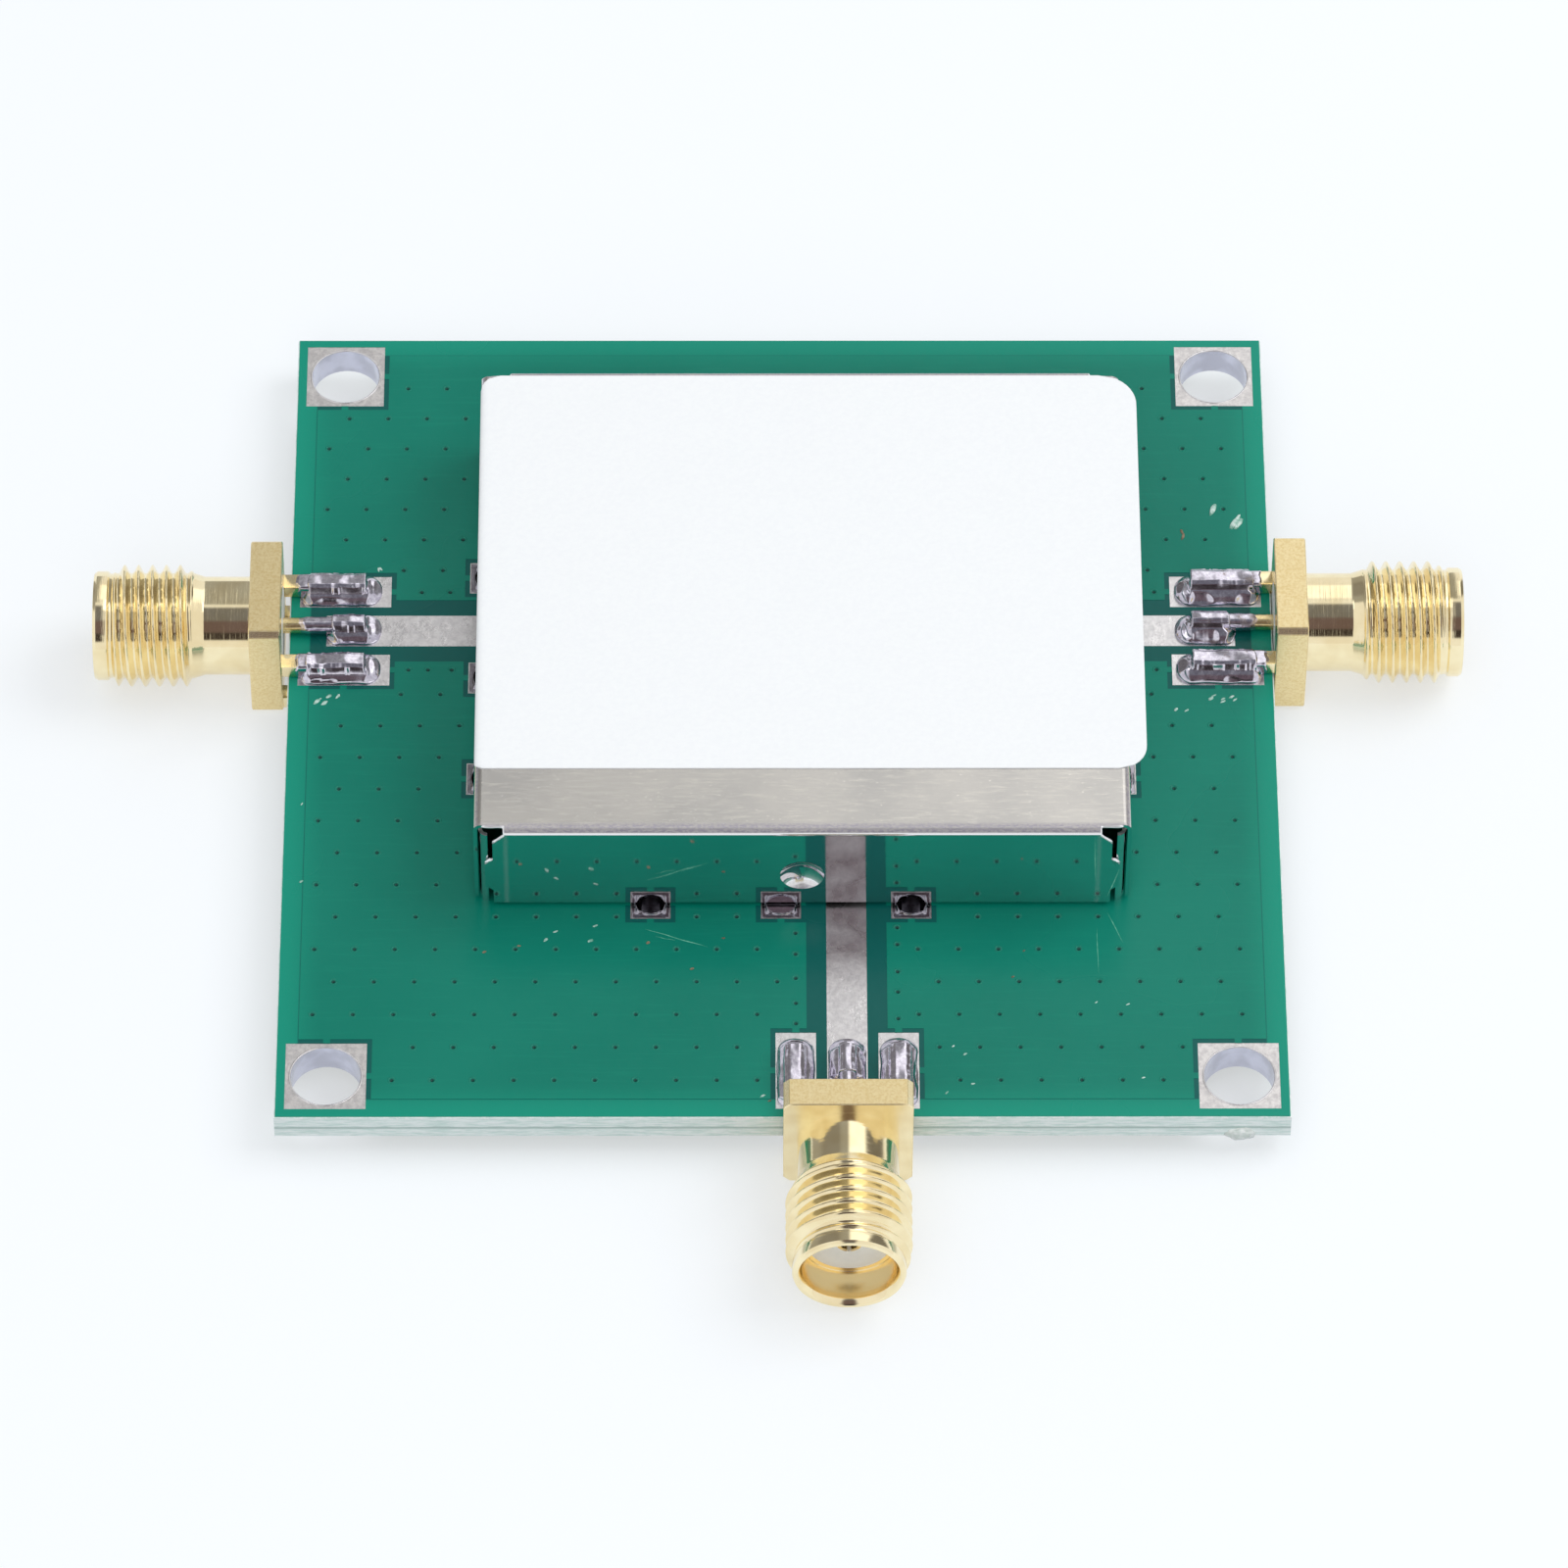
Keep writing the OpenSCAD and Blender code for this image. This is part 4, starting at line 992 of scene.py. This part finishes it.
def scatter(patches, draw):
    """Middle, length, width and turn of the specks of each patch."""
    widest = 0.3
    specks = []
    for (x, y), (spread_x, spread_y), count, longest, lean in patches:
        for _ in range(count):
            length = longest * draw.uniform(0.7, 1.0)
            middle = (x + spread_x * draw.uniform(-1, 1), y + spread_y * draw.uniform(-1, 1))
            width = min(widest, length * draw.uniform(0.3, 0.6))
            specks.append((*middle, length, width, lean + draw.uniform(-25, 25)))
    return specks


def add_speck(verts, faces, x, y, length, width, turn, seed):
    """A flat irregular drop on the mask."""
    around, rings = 14, 3
    height = 0.3 * width
    c, s = math.cos(math.radians(turn)), math.sin(math.radians(turn))
    first = len(verts)
    for ring in range(rings + 1):
        t = ring / rings
        for out, up in circle(around):
            r = 1.0 - 0.3 * t * t if t < 1 else 0.35
            r *= 1.0 + 0.4 * wobble(out * 1.3 + seed, up * 1.3, seed)
            px, py = r * length / 2 * out, r * width / 2 * up
            z = MARK_Z + height * smooth(t) * (1.0 + 0.5 * wobble(px * 4 + seed, py * 4))
            verts.append((x + px * c - py * s, y + px * s + py * c, z))
    faces += tube_faces(first, rings + 1, around)


def make_specks(name, patches, material):
    verts, faces = [], []
    for seed, speck in enumerate(scatter(patches, random.Random(name))):
        add_speck(verts, faces, *speck, 1.7 * seed + 0.3)
    new_piece(name, verts, faces, material, sharp=50)


def make_scratches(material):
    """Scratches in the mask, as thin raised burrs with ragged sides."""
    verts, faces = [], []
    steps = 24
    ridge_h, sway = 0.012, 0.06
    for seed, (right, ahead, length, turn, width) in enumerate(SCRATCHES):
        start = Vector((FRONT_PORT_X + right, CAN_Y - CAN_HALF_W - ahead))
        end = start + length * Vector((math.cos(math.radians(turn)), math.sin(math.radians(turn))))
        across = (end - start).orthogonal().normalized()
        first = len(verts)
        for i in range(steps + 1):
            t = i / steps
            ragged = 1.0 + 0.6 * wobble(9.0 * t, seed + 0.5)
            taper = width / 2 * math.sin(math.pi * (0.04 + 0.92 * t)) * ragged
            middle = start.lerp(end, t) + across * sway * wobble(2.5 * t, seed + 4.2)
            ridge = MARK_Z + ridge_h + 0.01 * wobble(14.0 * t, seed + 2.2)
            for side, z in ((-1, MARK_Z), (0, ridge), (1, MARK_Z)):
                p = middle + across * side * taper
                verts.append((p.x, p.y, z))
        faces += tube_faces(first, steps + 1, 3)
    new_piece("mask_scratches", verts, faces, material)


def make_edge_residue(material):
    """A crumb of glue under the front edge, by the right corner."""
    around, rings = 24, 10
    middle = Vector((BOARD_HALF - 2.5, -BOARD_HALF - 0.02, 0.25))
    size = Vector((0.75, 0.22, 0.42))
    verts = []
    for ring in range(rings + 1):
        lift = math.pi * ring / rings
        for c, s in circle(around):
            p = Vector((math.sin(lift) * c, math.sin(lift) * s, math.cos(lift)))
            r = 1.0 + 0.35 * wobble(p.x * 2 + 3, p.y * 2, p.z * 2)
            verts.append(tuple(middle + p * size * r))
    faces = ring_faces(0, rings + 1, around)
    piece = new_piece("edge_residue", verts, faces, material)
    work = bmesh.new()
    work.from_mesh(piece.data)
    bmesh.ops.remove_doubles(work, verts=work.verts, dist=0.001 * MM)
    work.to_mesh(piece.data)
    work.free()


# Stage
WHITE = (1.0, 1.0, 1.0)
FLOOR_COLOUR = (0.47, 0.497, 0.525)
# Light that the floor shows to the camera and in gloss, but doesn't cast on the object
FLOOR_GLOW = 0.5
FLOOR_HALF = 3000.0
# The floor lies this far under the jacks' flanges, so that no face lies in another
FLOOR_DROP = 0.01
# Strength and colour of the even light from all round
AMBIENT = 0.71
AMBIENT_COLOUR = (0.945, 0.975, 0.992)
DOME_R = 1500.0
# Panels of the studio seen in gloss: tilt to the right (from, to), angle from the front horizon over
# the top to the back horizon (from, to), width of the soft edge, and colour. Angles are in degrees.
DOME_BASE = (0.9, 0.9, 0.91)
PANELS = [
    ((-62, -2), (104, 185), 4.5, (0.36, 0.36, 0.355)),
    ((-42, -20), (124, 154), 11, (0.26, 0.25, 0.24)),
    ((5, 28), (113, 145), 6, (1.38, 1.37, 1.35)),
    ((35, 54), (134, 170), 7, (0.2, 0.19, 0.18)),
    ((-7, 7), (58, 91), 7, (0.18, 0.18, 0.2)),
    ((-9, 9), (36, 58), 8, (0.15, 0.11, 0.12)),
    ((-7, 7), (19, 33), 4, (0.045, 0.035, 0.035)),
    ((14, 24), (88, 108), 5, (2.4, 2.4, 2.4)),
    ((-22, -15), (86, 102), 5, (1.7, 1.7, 1.7)),
]
# Lamps: place, size and power in watts
LAMPS = {
    "key": ((420, 120, 520), (450, 400), 1.45),
    "fill": ((-50, -500, 400), (500, 300), 0.65),
}
# Camera fitted to the photograph: focal length, sensor, where its view starts, place, and turns in degrees
LENS = 241.84
SENSOR_W = 36.0
CLIP_START = 10.0
CAMERA_PLACE = (-2.43, -329.84, 419.74)
CAMERA_TURNS = (37.905, -0.200, -0.194)


def studio_colour(direction):
    """Colour of the studio in a direction, for reflections."""
    tilt = math.degrees(math.asin(max(-1.0, min(1.0, direction.x))))
    over = math.degrees(math.atan2(direction.z, -direction.y)) % 360
    colour = Vector(DOME_BASE)
    for tilts, overs, soft, level in PANELS:
        away = max(tilts[0] - tilt, tilt - tilts[1], overs[0] - over, over - overs[1], 0.0)
        colour = colour.lerp(Vector(level), 1.0 - smooth(away / soft))
    return colour


def make_dome():
    """Soft panels of the studio round the object, which only show in reflections."""
    step = 2
    around = 360 // step
    levels = [math.radians(up) for up in range(-step, 90, step)]
    steps = circle(around)
    directions = [Vector((math.cos(e) * c, math.cos(e) * s, math.sin(e))) for e in levels for c, s in steps]
    apex = len(directions)
    directions.append(Vector((0.0, 0.0, 1.0)))
    top = apex - around
    faces = ring_faces(0, len(levels), around)
    faces += [(top + j, top + (j + 1) % around, apex) for j in range(around)]
    mesh = bpy.data.meshes.new("studio")
    mesh.from_pydata([d * DOME_R * MM for d in directions], [], faces)
    colours = mesh.color_attributes.new("panel", "FLOAT_COLOR", "POINT")
    for k, d in enumerate(directions):
        colours.data[k].color = (*studio_colour(d), 1.0)
    g = Graph("studio")
    panel = g.add("ShaderNodeAttribute", attribute_name="panel").outputs["Color"]
    g.set(Base_Color=(0.0, 0.0, 0.0), Roughness=1.0, Specular_IOR_Level=0.0, Emission_Color=panel,
          Emission_Strength=1.0)
    mesh.materials.append(g.owner)
    dome = new_object("studio", mesh)
    dome.visible_camera = dome.visible_diffuse = dome.visible_shadow = False
    dome.visible_transmission = dome.visible_volume_scatter = False


def make_floor():
    g = Graph("floor")
    g.set(Base_Color=FLOOR_COLOUR, Roughness=0.9, Specular_IOR_Level=0.0, Emission_Color=WHITE,
          Emission_Strength=g.times(g.seen(), FLOOR_GLOW))
    half = FLOOR_HALF * MM
    z = cad_box[0][2] - FLOOR_DROP * MM
    corners = [(-half, -half, z), (half, -half, z), (half, half, z), (-half, half, z)]
    mesh = bpy.data.meshes.new("floor")
    mesh.from_pydata(corners, [], [(0, 1, 2, 3)])
    mesh.materials.append(g.owner)
    floor = new_object("floor", mesh)


def make_world():
    g = Graph("studio", "worlds", "Background")
    seen = g.seen()
    g.set(Color=g.mix(seen, AMBIENT_COLOUR, WHITE), Strength=g.span(seen, 0.0, 1.0, AMBIENT, 1.0))
    bpy.context.scene.world = g.owner


def make_lamp(name, place, size, power):
    light = bpy.data.lights.new(name, "AREA")
    light.shape = "RECTANGLE"
    light.size, light.size_y = (side * MM for side in size)
    light.energy = power
    lamp = new_object(name, light)
    lamp.location = Vector(place) * MM
    lamp.rotation_euler = (-lamp.location).to_track_quat("-Z", "Y").to_euler()
    lamp.visible_glossy = False


def make_camera():
    camera_data = bpy.data.cameras.new("camera")
    camera_data.lens = LENS
    camera_data.sensor_width = SENSOR_W
    camera_data.clip_start = CLIP_START * MM
    camera = new_object("camera", camera_data)
    camera.location = Vector(CAMERA_PLACE) * MM
    camera.rotation_euler = [math.radians(a) for a in CAMERA_TURNS]
    bpy.context.scene.camera = camera


make_camera()
make_world()
make_floor()
make_dome()
for lamp_name, lamp in LAMPS.items():
    make_lamp(lamp_name, *lamp)

tin = tin_material()
plate = tinplate_material()
gold = gold_material()
solder = solder_material("solder", 0.2)
stained_solder = solder_material("stained_solder", 0.8)
paint(mask_material(), "top_solder_mask", "bottom_solder_mask")
paint(laminate_material(), "laminate")
paint(tin, "top_copper", "bottom_copper", "chip_leads")
paint(plating_material("mounting_plating", srgb(222, 224, 240), 0.18), "mounting_hole_plating")
# The walls of the leg holes get a dark grey: painted shade in the holes.
paint(plating_material("leg_plating", srgb(110, 108, 112), 0.3), "leg_hole_plating")
paint(plate, "shield_frame", "shield_cover")
paint(solder, "shield_leg_solder", "chip_solder", *[side + "_jack_solder" for side in JACKS])
paint(gold, *[side + "_jack_" + part for side in JACKS for part in ("body", "contact")])
ptfe = plain_material("ptfe", srgb(246, 246, 243), 0.45, 1.5, shade=0.95)
paint(ptfe, *[side + "_jack_insulator" for side in JACKS])
paint(plain_material("chip_moulding", srgb(38, 38, 40), 0.5, 6.0), "mixer_chip")
paper = paper_material()
paint(paper, "label")

make_jacks(gold)
make_solder({"left": solder, "right": stained_solder, "front": solder})
make_label(paper)
make_via_fill(via_material())
make_leg_solder(solder_material("leg_solder", 0.0, 0.55))
make_hole_rims(tin)
make_sheared_edges(plain_material("sheared_edge", srgb(250, 250, 252), 0.34, 3.0, 1.0, 0.92))
white_flux = residue_material("white_flux", srgb(110, 172, 152), srgb(214, 234, 226), 0.25)
brown_flux = residue_material("brown_flux", srgb(92, 84, 62), srgb(150, 130, 104), 0.35)
make_specks("flux_specks", WHITE_PATCHES, white_flux)
make_specks("brown_specks", BROWN_PATCHES, brown_flux)
make_scratches(residue_material("scratched_mask", srgb(60, 160, 130), srgb(120, 200, 172), 0.5))
make_edge_residue(residue_material("glue_crumb", srgb(214, 222, 216), srgb(246, 248, 246), 0.6))

bpy.context.scene.view_settings.view_transform = "Standard"
